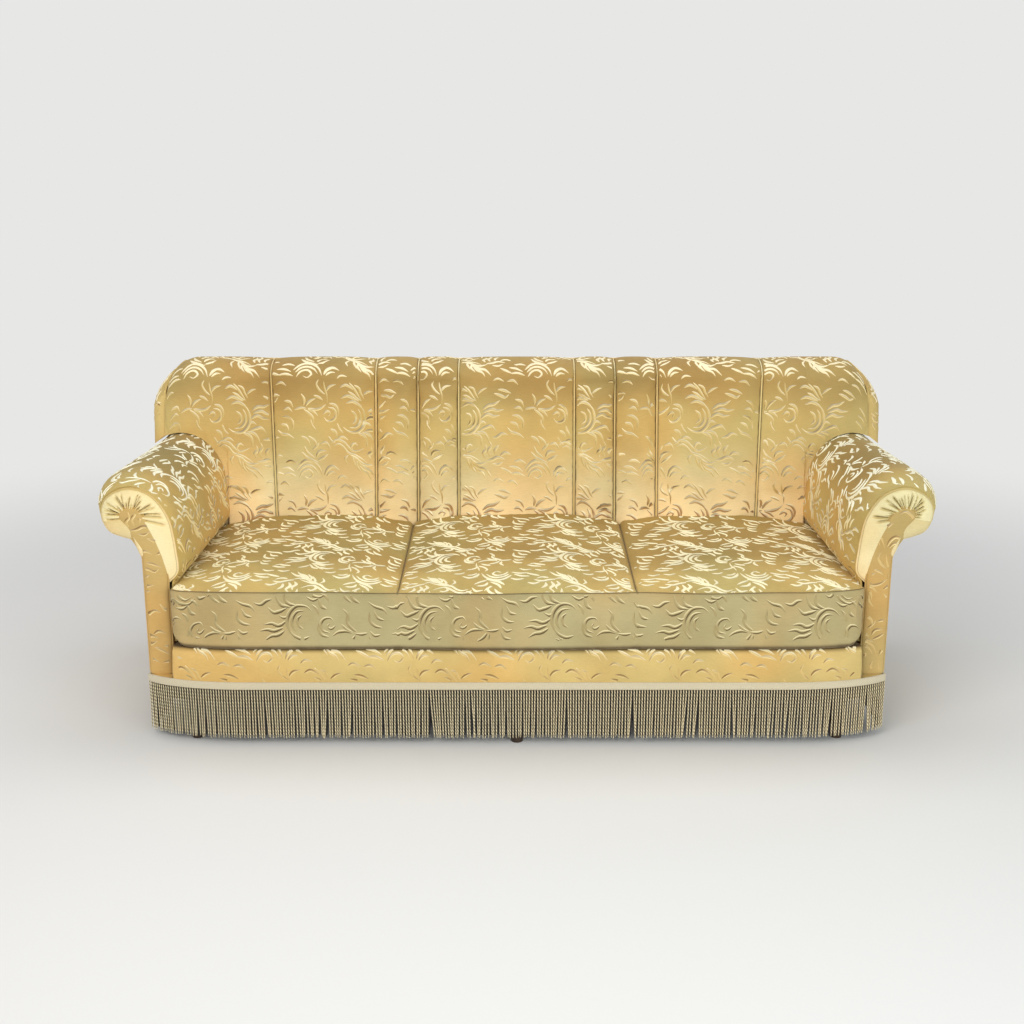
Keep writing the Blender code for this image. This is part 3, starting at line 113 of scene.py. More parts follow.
class Finish:
    """A material under construction."""

    def __init__(self, name, **settings):
        self.material = bpy.data.materials.new(name)
        self.material.use_nodes = True
        self.tree = self.material.node_tree
        self.shader = self.tree.nodes["Principled BSDF"]
        for key, value in settings.items():
            put(self.tree, self.shader.inputs[key.replace("_", " ").title()], value)
        self.place = self.node("ShaderNodeTexCoord", "Object")

    def node(self, kind, output, inputs=None, **settings):
        return add(self.tree, kind, output, inputs, **settings)

    def scaled(self, x, y, z):
        """The place on the piece, scaled along each axis."""
        return self.node("ShaderNodeMapping", "Vector", {"Vector": self.place, "Scale": (x, y, z)})

    def noise(self, scale, detail=2.0, place=None):
        inputs = {"Vector": place or self.place, "Scale": scale, "Detail": detail}
        return self.node("ShaderNodeTexNoise", "Fac", inputs)

    def mix(self, first, second, share, blend="MIX"):
        inputs = {0: share, 6: first, 7: second}
        return self.node("ShaderNodeMix", 2, inputs, data_type="RGBA", blend_type=blend)

    def times(self, first, second):
        return self.mix(first, second, 1.0, "MULTIPLY")

    def part(self, vector, axis):
        return self.node("ShaderNodeSeparateXYZ", axis, {0: vector})

    def level(self):
        """How far a face looks up, from 0 on an upright one to 1 on a flat one."""
        return self.part(self.node("ShaderNodeNewGeometry", "Normal"), 2)

    def bump(self, height, distance, strength=1.0):
        inputs = {"Height": height, "Distance": distance, "Strength": strength}
        put(self.tree, self.shader.inputs["Normal"], self.node("ShaderNodeBump", "Normal", inputs))

    def colour(self, value):
        put(self.tree, self.shader.inputs["Base Color"], value)

    def rough(self, value):
        put(self.tree, self.shader.inputs["Roughness"], value)


def linear(*srgb):
    """A colour written in sRGB bytes."""
    shares = [byte / 255 for byte in srgb]
    return tuple(c / 12.92 if c <= 0.04045 else ((c + 0.055) / 1.055) ** 2.4 for c in shares)


def beech(name, pale, warm, flecked):
    """Planed beech with flecked grain along Z."""
    make = Finish(name, roughness=0.5, coat_weight=0.0)
    grain = make.noise(1.0, 4.0, make.scaled(70, 70, 5))
    fleck = make.noise(1.0, 2.0, make.scaled(420, 420, 90)).between(0.6, 0.75)
    wood = make.mix(pale, warm, grain.between(0.3, 0.7))
    make.colour(make.mix(wood, flecked, fleck * 0.6))
    make.rough(0.42 + grain * 0.2)
    make.bump(grain * 0.5 + fleck, 0.0003, 0.5)
    return make.material


def dress(words, finish):
    """Gives a finish to the CAD's own solids whose names hold one of the words."""
    for name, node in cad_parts.items():
        if any(word in name for word in words):
            node.data.materials.clear()
            node.data.materials.append(finish)


frame_beech = beech("frame_beech", linear(196, 158, 112), linear(222, 188, 142), linear(150, 110, 70))
dress(("rail", "post", "upright", "stay", "back_ear", "corner_block", "board"), frame_beech)

# Feet: six turned beech feet, stained nearly black and screwed up under the rails. Their near-black
# is partly painted shade, for the dark under the fringe. They are the CAD's own solids. Behind the
# fringe only their tips show.

foot_beech = beech("foot_beech", linear(44, 32, 22), linear(64, 46, 30), linear(28, 20, 14))
dress(("foot_",), foot_beech)

# Springs: a unit of steel coils under each section of the seat, clipped to the webbing below and
# tied to the hessian above. They are the CAD's own solids, in drawn wire.


def spring_steel():
    make = Finish("spring_steel", metallic=1.0, roughness=0.35)
    drawn = make.noise(1.0, 3.0, make.scaled(90, 90, 30))
    make.colour(make.mix(linear(150, 148, 146), linear(204, 204, 206), drawn))
    make.rough(0.25 + drawn * 0.25)
    return make.material


dress(("springs",), spring_steel())

# Webbing: woven jute straps, stretched over the rails of the seat and of the back and tacked down.
# Rows and columns pass over and under each other, and carry the springs and the back's padding.

HALF_DEPTH = 0.455
REAR_TOP = 0.857
REAR_RAKE = 0.1176
REAR_LEAN = math.atan(REAR_RAKE)
STRAP_WIDTH = 0.05
STRAP_THICKNESS = 0.001
STRAP_CROSSING = 0.00065
THREAD = 0.0026


def rear_y(z, inset=0.0):
    """The raked rear of the back at a height, moved forwards by inset."""
    return HALF_DEPTH - REAR_RAKE * (REAR_TOP - z) - inset


def build(name, parts, materials, nodes, shades=None, flow=None):
    """An object of (points, faces, material number) parts, which stands for CAD nodes.

    It rides on the root and hides the CAD nodes it stands for. A part may give a material number
    for each face; flow holds a UV pair for each face corner.
    """
    points, faces, numbers = [], [], []
    for part_points, part_faces, number in parts:
        start = len(points)
        points.extend(map(tuple, part_points))
        faces.extend([tuple(start + corner for corner in face) for face in part_faces])
        numbers.extend([number] * len(part_faces) if isinstance(number, int) else number)
    mesh = bpy.data.meshes.new(name)
    mesh.from_pydata(points, [], faces)
    mesh.polygons.foreach_set("material_index", numbers)
    for material in materials:
        mesh.materials.append(material)
    if shades is not None:
        mesh.attributes.new("shade", "FLOAT", "POINT").data.foreach_set("value", shades)
    if flow is not None:
        mesh.uv_layers.new(name="flow").data.foreach_set("uv", np.asarray(flow, float).reshape(-1))
    mesh.shade_smooth()
    mesh.set_sharp_from_angle(angle=math.radians(50))
    piece = bpy.data.objects.new(name, mesh)
    bpy.context.scene.collection.objects.link(piece)
    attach(piece, "root")
    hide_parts(*nodes)
    return piece


def signed_volume(points, faces):
    """Six times the volume inside the faces, negative where they face in."""
    total = 0.0
    for face in faces:
        corners = points[list(face)]
        fan = np.cross(corners[1:-1], corners[2:])
        total += float(np.sum(fan @ corners[0]))
    return total


def raw_loft(rings):
    """Faces that join rings of points in turn, capped at both ends."""
    rings = np.asarray(rings, float)
    count, around = rings.shape[:2]
    faces = []
    for ring in range(count - 1):
        for place in range(around):
            after = (place + 1) % around
            a, b = ring * around + place, ring * around + after
            faces.append((a, b, b + around, a + around))
    faces.append(tuple(range(around))[::-1])
    faces.append(tuple((count - 1) * around + place for place in range(around)))
    return rings.reshape(-1, 3), faces


def loft(rings):
    """The same faces, all facing out."""
    points, faces = raw_loft(rings)
    if signed_volume(points, faces) < 0:
        faces = [face[::-1] for face in faces]
    return points, faces


def strap(start, end, crossings, over, normal):
    """A woven strap from start to end that goes over and under the straps that cross it."""
    start, end, normal = (np.asarray(item, float) for item in (start, end, normal))
    length = float(np.linalg.norm(end - start))
    along = (end - start) / length
    aside = np.cross(normal, along)
    heights = [STRAP_CROSSING * (-1) ** (number + over) for number in range(len(crossings))]
    half, thick = STRAP_WIDTH / 2, STRAP_THICKNESS / 2
    edges = [(half, thick), (-half, thick), (-half, -thick), (half, -thick)]
    rings = []
    for place in np.linspace(0, length, 60):
        middle = start + along * place + normal * float(np.interp(place, crossings, heights))
        rings.append([middle + aside * side + normal * up for side, up in edges])
    return (*loft(rings), 0)


def jute():
    """Coarse brown jute, woven thread over thread."""
    make = Finish("jute", roughness=0.9)
    warp = make.part(make.place, 0) * (math.tau / THREAD)
    weft = (make.part(make.place, 1) + make.part(make.place, 2)) * (math.tau / THREAD)
    weave = (warp.math("SINE") * weft.math("SINE")).between(-0.4, 0.5)
    fuzz = make.noise(500.0, 2.0)
    make.colour(make.mix(linear(120, 92, 54), linear(188, 158, 108), weave * 0.7 + fuzz * 0.3))
    make.bump(weave + fuzz * 0.4, 0.0006, 0.8)
    return make.material


jute_web = jute()


def webbing(name, node, rows, columns, place, normal):
    """Straps along and across a frame: rows and columns are (start, end, places across)."""
    (left, right, levels), (low, high, sides) = rows, columns
    parts = []
    across, upwards = [x - left for x in sides], [level - low for level in levels]
    for number, level in enumerate(levels):
        parts.append(strap(place(left, level), place(right, level), across, number, normal))
    for number, x in enumerate(sides):
        parts.append(strap(place(x, low), place(x, high), upwards, number + 1, normal))
    piece = build(name, parts, [jute_web], (node,))


webbing(
    "seat_straps",
    "seat_webbing",
    (-0.915, 0.915, (-0.265, -0.105, 0.055)),
    (-0.4077, 0.3439, (-0.7265, -0.4465, -0.14, 0.14, 0.4465, 0.7265)),
    lambda x, y: (x, y, 0.11345),
    (0.0, 0.0, 1.0),
)
webbing(
    "back_straps",
    "back_webbing",
    (-0.815, 0.815, (0.52, 0.64, 0.76)),
    (0.430, 0.830, (-0.66, -0.44, -0.15, 0.15, 0.44, 0.66)),
    lambda x, z: (x, rear_y(z, 0.0429), z),
    (0.0, -math.cos(REAR_LEAN), math.sin(REAR_LEAN)),
)

# Dust cover: one piece of thin black cambric, stapled up under the rails to keep the stuffing in.
# It sags a few millimetres in the middle and puckers a little along its edges.

PLAN_FRONT_Y = -0.432
BEND_START, BEND_LENGTH, BEND_DEPTH = 0.690, 0.290, 0.110
DUST_HALF_WIDTH = 0.929
DUST_REAR_Y = 0.3554
DUST_INSET = 0.0196
DUST_Z = 0.1112
DUST_SAG = 0.0055
DUST_THICKNESS = 0.0006


def plan_angle(x, inset):
    """How far the base's front has turned at x round its bend, on a line inset from it."""
    return math.asin(max(0.0, min(1.0, (abs(x) - BEND_START) / (BEND_LENGTH - inset))))


def plan_point(angle, inset):
    x = BEND_START + (BEND_LENGTH - inset) * math.sin(angle)
    return x, PLAN_FRONT_Y + inset + (BEND_DEPTH - inset) * (1 - math.cos(angle))


def plan_y(x, inset):
    return plan_point(plan_angle(x, inset), inset)[1]


def cambric():
    """Thin black dust cloth."""
    make = Finish("black_cambric", roughness=0.9, sheen_weight=0.1)
    fine = make.noise(900.0, 2.0)
    broad = make.noise(12.0, 2.0)
    make.colour(make.mix((0.010, 0.010, 0.011), (0.040, 0.039, 0.038), fine * 0.6 + broad * 0.4))
    make.bump(fine, 0.0003, 0.5)
    return make.material


dust_x = np.linspace(-DUST_HALF_WIDTH, DUST_HALF_WIDTH, 61)
sagging = []
for x in dust_x:
    front = plan_y(x, DUST_INSET)
    column = []
    for y in np.linspace(front, DUST_REAR_Y, 30):
        middle = math.sin(math.pi * ((y - front) / (DUST_REAR_Y - front)))
        sag = DUST_SAG * (1 - (x / DUST_HALF_WIDTH) ** 4) * middle**0.8
        pucker = 0.0004 * math.sin(x * 210) * (1 - middle) * (abs(x) < DUST_HALF_WIDTH - 0.001)
        column.append((x, y, DUST_Z - sag + pucker))
    column = np.array(column)
    sagging.append(np.vstack([column, column[::-1] + (0.0, 0.0, DUST_THICKNESS)]))
dust = build("dust_sheet", [(*loft(sagging), 0)], [cambric()], ("dust_cover",))
cut = [DUST_REAR_Y - plan_y(x, DUST_INSET) for x in dust_x]

# Seat: one sprung seat in three crowned sections. Its top panels are olive-gold velvet, drawn down
# in two seams, and are sewn to a greener boxing by a plain seam along the front edge. Cover,
# padding and hessian are stuffed and tacked down together, so they are one piece here.

SEAM_X = 0.298
SEAT_HALF_WIDTH = 0.875
SEAT_LOW = 0.262
SEAT_EDGE_Z = 0.415
SEAT_OVERHANG = 0.008
SEAT_CROWN = 0.022
SEAT_REAR_RISE = 0.018
SEAM_DEPTH = 0.009
EDGE_STEP = 0.0022
END_ROUND = 0.010
TOP_ROWS = 52
BOXING_ROWS = 21
EDGE_ROW = TOP_ROWS - 1
FACE_Y, FACE_Z, FACE_LEAN = 0.150, 0.400, 0.198


def face_y(z):
    """The raked front of the back at a height."""
    return FACE_Y + FACE_LEAN * (z - FACE_Z)


def section_place(x):
    """How far out x lies in its section: from 0 to 1 in the middle one, from -1 to 1 in the others."""
    place = abs(x)
    if place <= SEAM_X:
        return place / SEAM_X
    return (2 * place - SEAM_X - SEAT_HALF_WIDTH) / (SEAT_HALF_WIDTH - SEAM_X)


def corner_fall(x, limit, radius):
    """How far a quarter-round corner falls away at x."""
    past = max(0.0, abs(x) - (limit - radius)) / radius
    return radius * (1 - math.sqrt(max(0.0, 1 - past**2)))


def seat_column(x):
    """The seat in section at x: from the rear of its top over the seam and down the boxing."""
    place = section_place(x)
    bulge = 0.012 if abs(x) <= SEAM_X else 0.004
    front = plan_y(x, -SEAT_OVERHANG) - bulge * (1 - place**2)
    front += corner_fall(x, SEAT_HALF_WIDTH, 0.028)
    groove = SEAM_DEPTH * math.exp(-(((abs(x) - SEAM_X) / 0.006) ** 2))
    level = 1 - (abs(x) / SEAT_HALF_WIDTH) ** 4
    low = SEAT_LOW + corner_fall(x, SEAT_HALF_WIDTH, 0.045)
    wander = 0.0016 * math.sin(x * 9.0 + 0.6) + 0.0008 * math.sin(x * 23.0)
    edge = SEAT_EDGE_Z + wander - corner_fall(x, SEAT_HALF_WIDTH, 0.012)
    path = []
    for share in np.linspace(1, 0, TOP_ROWS) ** 1.25:
        swell = 1 - (1 - min(1.0, share / 0.24)) ** 2.2
        crown = SEAT_CROWN * (1 - abs(place) ** 2.6) * swell
        z = edge + crown + SEAT_REAR_RISE * share * level - groove * min(1.0, share * 12)
        path.append((x, front + (face_y(z) - 0.001 - front) * share, z))
    path[-1] = (x, front + EDGE_STEP, edge)
    for share in np.linspace(0, 1, BOXING_ROWS + 1)[1:]:
        z = edge + (low - edge) * share
        bow = 0.0045 * math.sin(math.pi * share) ** 0.7
        turn = max(0.0, (share - 0.86) / 0.14)
        step = EDGE_STEP * (1 - min(1.0, share * 10))
        path.append((x, front + step - bow + 0.012 * turn**2, z))
    return path


def stuffed(grid, pinned, pressure, cap, frames=14):
    """Lets a cover swell between its pinned seams, and returns its points."""
    across, along = grid.shape[:2]
    faces = []
    for i in range(across - 1):
        for j in range(along - 1):
            a = i * along + j
            faces.append((a, a + along, a + along + 1, a + 1))
    mesh = bpy.data.meshes.new("cover_in_simulation")
    mesh.from_pydata(grid.reshape(-1, 3).tolist(), [], faces)
    cover = bpy.data.objects.new("cover_in_simulation", mesh)
    bpy.context.scene.collection.objects.link(cover)
    held = cover.vertex_groups.new(name="seams")
    held.add(np.flatnonzero(pinned.reshape(-1)).tolist(), 1.0, "REPLACE")
    cloth = cover.modifiers.new("cloth", "CLOTH")
    cloth.settings.quality = 5
    cloth.settings.mass = 0.3
    cloth.settings.tension_stiffness = 14.0
    cloth.settings.compression_stiffness = 14.0
    cloth.settings.shear_stiffness = 6.0
    cloth.settings.bending_stiffness = 0.35
    cloth.settings.shrink_min = -0.012
    cloth.settings.vertex_group_mass = "seams"
    cloth.settings.effector_weights.gravity = 0.0
    cloth.settings.use_pressure = True
    cloth.settings.uniform_pressure_force = pressure
    cloth.collision_settings.use_collision = False
    cloth.point_cache.frame_start = 1
    cloth.point_cache.frame_end = frames
    for number in range(1, frames + 1):
        bpy.context.scene.frame_set(number)
    ready = cover.evaluated_get(bpy.context.evaluated_depsgraph_get())
    moved = np.empty(across * along * 3)
    ready.data.vertices.foreach_get("co", moved)
    bpy.context.scene.frame_set(1)
    bpy.data.objects.remove(cover, do_unlink=True)
    bpy.data.meshes.remove(mesh)
    change = moved.reshape(grid.shape) - grid
    far = np.maximum(np.linalg.norm(change, axis=2), 1e-9)[:, :, None]
    return grid + change / far * cap * np.tanh(far / cap)


def travelled(path):
    """How far each point of a path lies along it; for a stack of paths, along each of them."""
    steps = np.linalg.norm(np.diff(path, axis=-2), axis=-1)
    return np.concatenate([np.zeros((*steps.shape[:-1], 1)), np.cumsum(steps, axis=-1)], axis=-1)


def evened(path, count):
    """The same path in count evenly spaced points."""
    path = np.asarray(path, float)
    steps = travelled(path)
    wanted = np.linspace(0, steps[-1], count)
    return np.stack([np.interp(wanted, steps, path[:, axis]) for axis in range(path.shape[1])], axis=1)


def smooth_path(points, count):
    """An even Catmull-Rom curve through points."""
    points = np.asarray(points, float)
    points = np.vstack([2 * points[:1] - points[1:2], points, 2 * points[-1:] - points[-2:-1]])
    fine = []
    for a, b, c, d in zip(points, points[1:], points[2:], points[3:]):
        square, cube = 2 * a - 5 * b + 4 * c - d, 3 * b - a - 3 * c + d
        for t in np.linspace(0, 1, 12, endpoint=False):
            fine.append(0.5 * (2 * b + (c - a) * t + square * t**2 + cube * t**3))
    fine.append(points[-2])
    return evened(np.array(fine), count)


def tube_rings(path, radius, sides=6, shares=None):
    """The rings of a tube along a path; shares of the radius may change along it."""
    path = np.asarray(path, float)
    along = np.gradient(path, axis=0)
    along /= np.linalg.norm(along, axis=1)[:, None]
    side = np.cross(along[0], (0.0, 0.0, 1.0))
    if np.linalg.norm(side) < 0.1:
        side = np.cross(along[0], (0.0, 1.0, 0.0))
    rings = []
    for number, (point, direction) in enumerate(zip(path, along)):
        side = side - direction * (side @ direction)
        side /= np.linalg.norm(side)
        other = np.cross(direction, side)
        size = radius * (1.0 if shares is None else shares[number])
        angles = np.arange(sides) * math.tau / sides
        rings.append(point + size * (np.cos(angles)[:, None] * side + np.sin(angles)[:, None] * other))
    return np.array(rings)


def tube(path, radius, sides=6):
    return loft(tube_rings(path, radius, sides))


def velvet(name, upright, level, blends=(), sheen=0.25):
    """A ground colour for upright and for level faces, with crushed pile and a fine weave.

    Blends are rows of axis, start, end and the colour that has taken over at the end. The level
    colour is painted light: faces that look up take it for how the light falls on them. The shade
    attribute paints shade: it darkens a cover along its creases and seams, and in its gaps.
    """
    make = Finish(
        name, roughness=0.75, sheen_weight=sheen, sheen_roughness=0.45, sheen_tint=linear(255, 232, 180)
    )
    # Painted light: level faces get their own colour for how the light falls on them.
    colour = make.mix(upright, level, make.level().between(0.15, 0.85))
    for axis, start, end, other in blends:
        colour = make.mix(colour, other, make.part(make.place, axis).between(start, end))
    crush = make.noise(5.0, 3.0).between(0.32, 0.70)
    fine = make.noise(1.0, 2.0, make.scaled(900, 900, 160)).between(0.25, 0.75)
    across = make.noise(1.0, 1.0, make.scaled(60, 60, 700)).between(0.3, 0.7)
    worn = crush * 0.62 + fine * 0.20 + across * 0.18
    tone = make.mix((0.80, 0.79, 0.74), (1.12, 1.12, 1.14), worn)
    faded = make.noise(3.4, 2.0).between(0.36, 0.64)
    hue = make.mix((1.07, 0.975, 0.86), (0.95, 1.01, 1.03), faded)
    shaded = make.times(make.times(colour, tone), hue)
    # Painted shade: the shade attribute darkens creases, seams and gaps.
    crease_shade = make.node("ShaderNodeAttribute", "Fac", attribute_name="shade").between(0.0, 1.0)
    make.colour(make.mix(shaded, linear(66, 46, 20), crease_shade))
    make.rough(0.68 + fine * 0.14)
    make.bump(fine * 0.6 + across * 0.4 + crush * 2.0, 0.0004, 0.7)
    return make.material


def raised(name, light, middle, dark, level, low=None):
    """The pattern's pile, which catches the light otherwise than the ground.

    Its shade attribute says which edge of a stroke leans into the light, from -1 to 1, and the
    colours paint it: a painted highlight on one edge and painted shade on the other. Level is its
    colour on faces that look up, a painted highlight, and low the one it takes on near the seat.
    """
    make = Finish(
        name, roughness=0.6, sheen_weight=0.3, sheen_roughness=0.35, sheen_tint=linear(255, 240, 205)
    )
    shade = make.node("ShaderNodeAttribute", "Fac", attribute_name="shade")
    # Painted light on the stroke's edges: light on the edge towards the light, dark on the other.
    colour = make.mix(light, middle, shade.between(-0.8, -0.1))
    if low is not None:
        colour = make.mix(low, colour, make.part(make.place, 2).between(0.44, 0.57))
    colour = make.mix(colour, dark, shade.between(0.10, 0.62))
    # Painted highlight on faces that look up, with painted shade along their dark edges.
    lifted = make.mix(level, dark, shade.between(0.50, 0.95) * 0.85)
    colour = make.mix(colour, lifted, make.level().between(0.10, 0.62))
    fine = make.noise(1.0, 2.0, make.scaled(900, 900, 300)).between(0.25, 0.75)
    broad = make.noise(9.0, 2.0).between(0.3, 0.7)
    tone = make.mix((0.86, 0.86, 0.84), (1.06, 1.06, 1.06), fine * 0.5 + broad * 0.5)
    make.colour(make.times(colour, tone))
    make.rough(0.52 + fine * 0.16)
    make.bump(fine, 0.0003, 0.6)
    return make.material


TOWARDS_FRONT = (1, -0.16, -0.37, linear(196, 172, 104))
# Each velvet's second colour is its level one, painted light for how the light falls on level faces.
seat_olive = velvet("seat_velvet", linear(200, 172, 102), linear(162, 136, 70), [TOWARDS_FRONT])
boxing_green = velvet("boxing_velvet", linear(180, 162, 116), linear(170, 148, 90))
ivory_raised = raised(
    "ivory_pattern", linear(250, 234, 182), linear(228, 202, 134), linear(116, 90, 44), linear(255, 246, 206)
)
boxing_raised = raised(
    "boxing_pattern", linear(214, 198, 150), linear(170, 152, 104), linear(96, 78, 40), linear(240, 226, 180)
)

# The velvet's traditional foliate pattern is woven in as raised pile: scrolls, stems and
# flame-shaped leaves. Here one repeat is drawn in strokes on a flat tile and laid on each surface.

TILE = (0.330, 0.290)
TILE_STEPS = 102
STROKE_UNIT = 0.00072
STROKE_LEAST = 0.0006
STROKE_FULL = 0.0022
STROKE_SPACING = 0.0045
SURFACE_MARGIN = 0.004


def stroke(width, *points):
    """Rows of x, y, half width and heading along a stroke that tapers to both its ends."""
    path = np.array(points, float) * TILE[1] / TILE_STEPS
    path = smooth_path(path, max(8, round(travelled(path)[-1] / STROKE_SPACING)))
    along = np.gradient(path, axis=0)
    t = np.linspace(0.02, 0.98, len(path))
    half = width * STROKE_UNIT * np.sin(math.pi * t**0.85) ** 0.75
    heading = np.arctan2(along[:, 1], along[:, 0])
    return np.column_stack([path, np.maximum(half, STROKE_LEAST), heading])


def tile():
    """One repeat, drawn on a grid of 116 by 102 steps: C-scrolls, curls and fans of leaves."""
    great_scroll = [
        stroke(7.5, (63, 42), (67, 36), (68.5, 28), (66, 20), (60, 14.5), (52, 14.5), (46, 19)),
        stroke(6.5, (61, 38), (64, 32), (63.5, 25), (59, 19.5), (52, 18.5)),
        stroke(6.5, (54, 36), (58.5, 32), (59, 26), (55, 22.5)),
        stroke(6, (43, 59), (48, 61.5), (52, 60), (56, 57)),
        stroke(6, (51, 55), (56, 52), (60, 48.5), (65, 47)),
        stroke(6.5, (44, 48), (50, 50.5), (56, 48.5), (62, 46)),
        stroke(6.5, (49, 43), (55, 45), (60, 43.5), (64, 40.5), (66.5, 36)),
        stroke(6, (52, 64), (57, 58), (61, 52), (64, 48)),
        stroke(5.5, (57, 62), (62, 59), (64, 54), (67, 49)),
        stroke(5, (66, 53), (71, 57), (76, 59)),
        stroke(7, (71, 37), (77, 41), (83, 42), (89, 46)),
        stroke(7, (72, 34), (80, 37), (86, 35.5), (93, 37)),
        stroke(7, (69, 28), (76, 32), (82, 30), (89, 31)),
        stroke(5.5, (66, 22), (70, 25), (75, 23)),
        stroke(7, (68, 16), (75, 19), (80, 20), (85, 15)),
        stroke(7, (65, 15), (72, 13.5), (76, 9), (78, 3)),
        stroke(7, (60, 14), (67, 11.5), (70, 7), (70, 0)),
        stroke(6.5, (81, 8), (86, 9), (91, 12.5), (97, 11)),
    ]
    branch = [
        stroke(6, (33, 104), (39, 108), (46, 106), (51, 101), (56, 97), (62, 98), (67, 101)),
        stroke(5.5, (36, 102), (41, 104), (46, 101), (51, 95), (58, 93), (64, 90), (70, 86)),
        stroke(8, (53, 93), (60, 89), (63, 84), (68, 80), (74, 78), (80, 71)),
        stroke(6, (61, 89), (65, 85), (70, 84), (76, 86)),
        stroke(6, (62, 83), (66, 78), (71, 75), (74, 70)),
        stroke(5.5, (56, 97), (54, 101), (57, 105), (61, 103)),
        stroke(5.5, (56, 93), (56, 88), (59, 80)),
        stroke(5.5, (60, 88), (60, 82), (64, 76)),
        stroke(5, (51, 93), (48, 89), (50, 83)),
        stroke(5.5, (40, 109), (45, 111), (51, 108)),
        stroke(7, (75, 87), (81, 88), (87, 90.5), (94, 88)),
        stroke(7, (74, 90), (72, 95), (75, 99), (74, 104)),
        stroke(7, (79, 91), (77, 97), (80, 102), (78, 107)),
        stroke(6.5, (84, 93), (84, 98), (88, 103)),
        stroke(6.5, (89, 92), (94, 95), (100, 93)),
        stroke(5.5, (81, 84), (87, 83), (92, 86)),
    ]
    arched_scroll = [
        stroke(7, (-2, 78), (5, 85.5), (11, 87), (17, 84.5), (22, 79), (25, 71)),
        stroke(6, (0, 75), (5, 80.5), (11, 82), (17, 79), (21, 73)),
        stroke(5.5, (1, 70), (5, 76), (11, 77.5), (15, 73), (11, 69), (7, 71)),
        stroke(7.5, (4, 96), (9, 90), (14, 87.5), (21, 85)),
        stroke(6.5, (7, 102), (10, 95), (17, 90)),
        stroke(6.5, (19, 91), (22, 96), (29, 97)),
        stroke(6, (20, 87), (26, 90), (31, 94)),
        stroke(5, (15, 98), (19, 101), (22, 105)),
        stroke(7.5, (27, 72), (30, 78), (35, 81), (42, 77)),
        stroke(5.5, (29, 71), (33, 75), (38, 75)),
        stroke(6, (98, 81), (105, 80), (112, 76)),
        stroke(6, (100, 74), (107, 74), (114, 71)),
        stroke(6, (103, 86), (109, 87), (115, 84)),
        stroke(4.2, (27, 65), (28, 58), (30, 51), (30, 43)),
        stroke(5.5, (29, 55), (33, 60), (39, 62)),
        stroke(5.5, (28, 52), (23, 56), (20, 62), (22, 67)),
    ]
    curl = [
        stroke(6.5, (32, 43), (38, 41), (41, 36), (41, 30)),
        stroke(6, (31, 39), (37, 37), (39, 31), (36, 26), (30, 25), (27, 29)),
        stroke(5, (26, 32), (30, 35), (33, 33), (31, 30)),
        stroke(6, (9, 40), (13, 45), (19, 48)),
        stroke(6, (11, 38), (18, 36.5), (24, 38), (29, 42)),
        stroke(5.5, (17, 51), (22, 49), (26, 46)),
        stroke(6.5, (7, 37), (12, 33), (16, 28), (16, 22)),
        stroke(6, (11, 37), (16, 35), (21, 30)),
        stroke(5.5, (-2, 37), (4, 38.5), (10, 38)),
        stroke(6, (7, 41), (8, 47), (5, 53)),
        stroke(5, (14, 27), (15, 21), (19, 16)),
        stroke(6, (104, 47), (110, 45), (113, 39)),
        stroke(5.5, (103, 38), (108, 39), (112, 35)),
        stroke(6.5, (101, 31), (107, 30), (112, 25), (112, 17)),
        stroke(6, (99, 24), (105, 22), (108, 16)),
        stroke(6, (96, 19), (100, 14), (107, 12), (113, 8)),
    ]
    loose_leaves = [
        stroke(6, (87, 57), (93, 56), (100, 53)),
        stroke(6.5, (83, 53), (89, 51), (94, 49), (98, 52)),
        stroke(6, (89, 80), (95, 77), (102, 73)),
        stroke(7.5, (33, 17), (38, 14), (40, 7)),
        stroke(6, (31, 10), (34, 5), (38, 3)),
        stroke(7, (4, 10), (10, 6), (13, 0)),
        stroke(6.5, (11, 10), (17, 5), (19, 0), (16, -5)),
        stroke(6, (40, 23), (42, 17), (46, 13)),
        stroke(6, (23, 2), (29, 3), (33, -3)),
        stroke(5.5, (96, 65), (102, 66), (107, 62)),
        stroke(5, (82, 66), (87, 68), (93, 65)),
        stroke(5, (40, 68), (44, 71), (50, 70)),
    ]
    return great_scroll + branch + arched_scroll + curl + loose_leaves


STROKES = tile()


class Draped:
    """A grid of points as a surface: u runs across its columns and v along each of them."""

    def __init__(self, grid, u, v, inside=None):
        self.u = np.asarray(u, float)
        self.v = np.asarray(v, float)
        normal = np.cross(np.gradient(grid, axis=0), np.gradient(grid, axis=1))
        normal /= np.maximum(np.linalg.norm(normal, axis=2)[:, :, None], 1e-9)
        self.data = np.concatenate([grid, normal], axis=2)
        self.inside = inside or (lambda u, v: np.ones(len(u), bool))

    def covers(self, u, v):
        column = np.clip(np.searchsorted(self.u, u) - 1, 0, len(self.u) - 2)
        low = np.maximum(self.v[column, 0], self.v[column + 1, 0]) + SURFACE_MARGIN
        high = np.minimum(self.v[column, -1], self.v[column + 1, -1]) - SURFACE_MARGIN
        inside = (u > self.u[0] + SURFACE_MARGIN) & (u < self.u[-1] - SURFACE_MARGIN)
        return inside & (v > low) & (v < high) & self.inside(u, v)

    def column(self, numbers, v):
        out = np.empty((len(v), 6))
        for number in np.unique(numbers):
            chosen = numbers == number
            for part in range(6):
                out[chosen, part] = np.interp(v[chosen], self.v[number], self.data[number, :, part])
        return out

    def place(self, u, v, height):
        column = np.clip(np.searchsorted(self.u, u) - 1, 0, len(self.u) - 2)
        share = ((u - self.u[column]) / (self.u[column + 1] - self.u[column]))[:, None]
        found = self.column(column, v) * (1 - share) + self.column(column + 1, v) * share
        return found[:, :3] + found[:, 3:] * height[:, None]


def repeats(axis, shift, size):
    """Where the tile starts along an axis, for each repeat that may reach the surface."""
    first = math.floor((axis.min() - shift) / size) - 1
    last = math.ceil((axis.max() - shift) / size)
    return [shift + number * size for number in range(first, last + 1)]


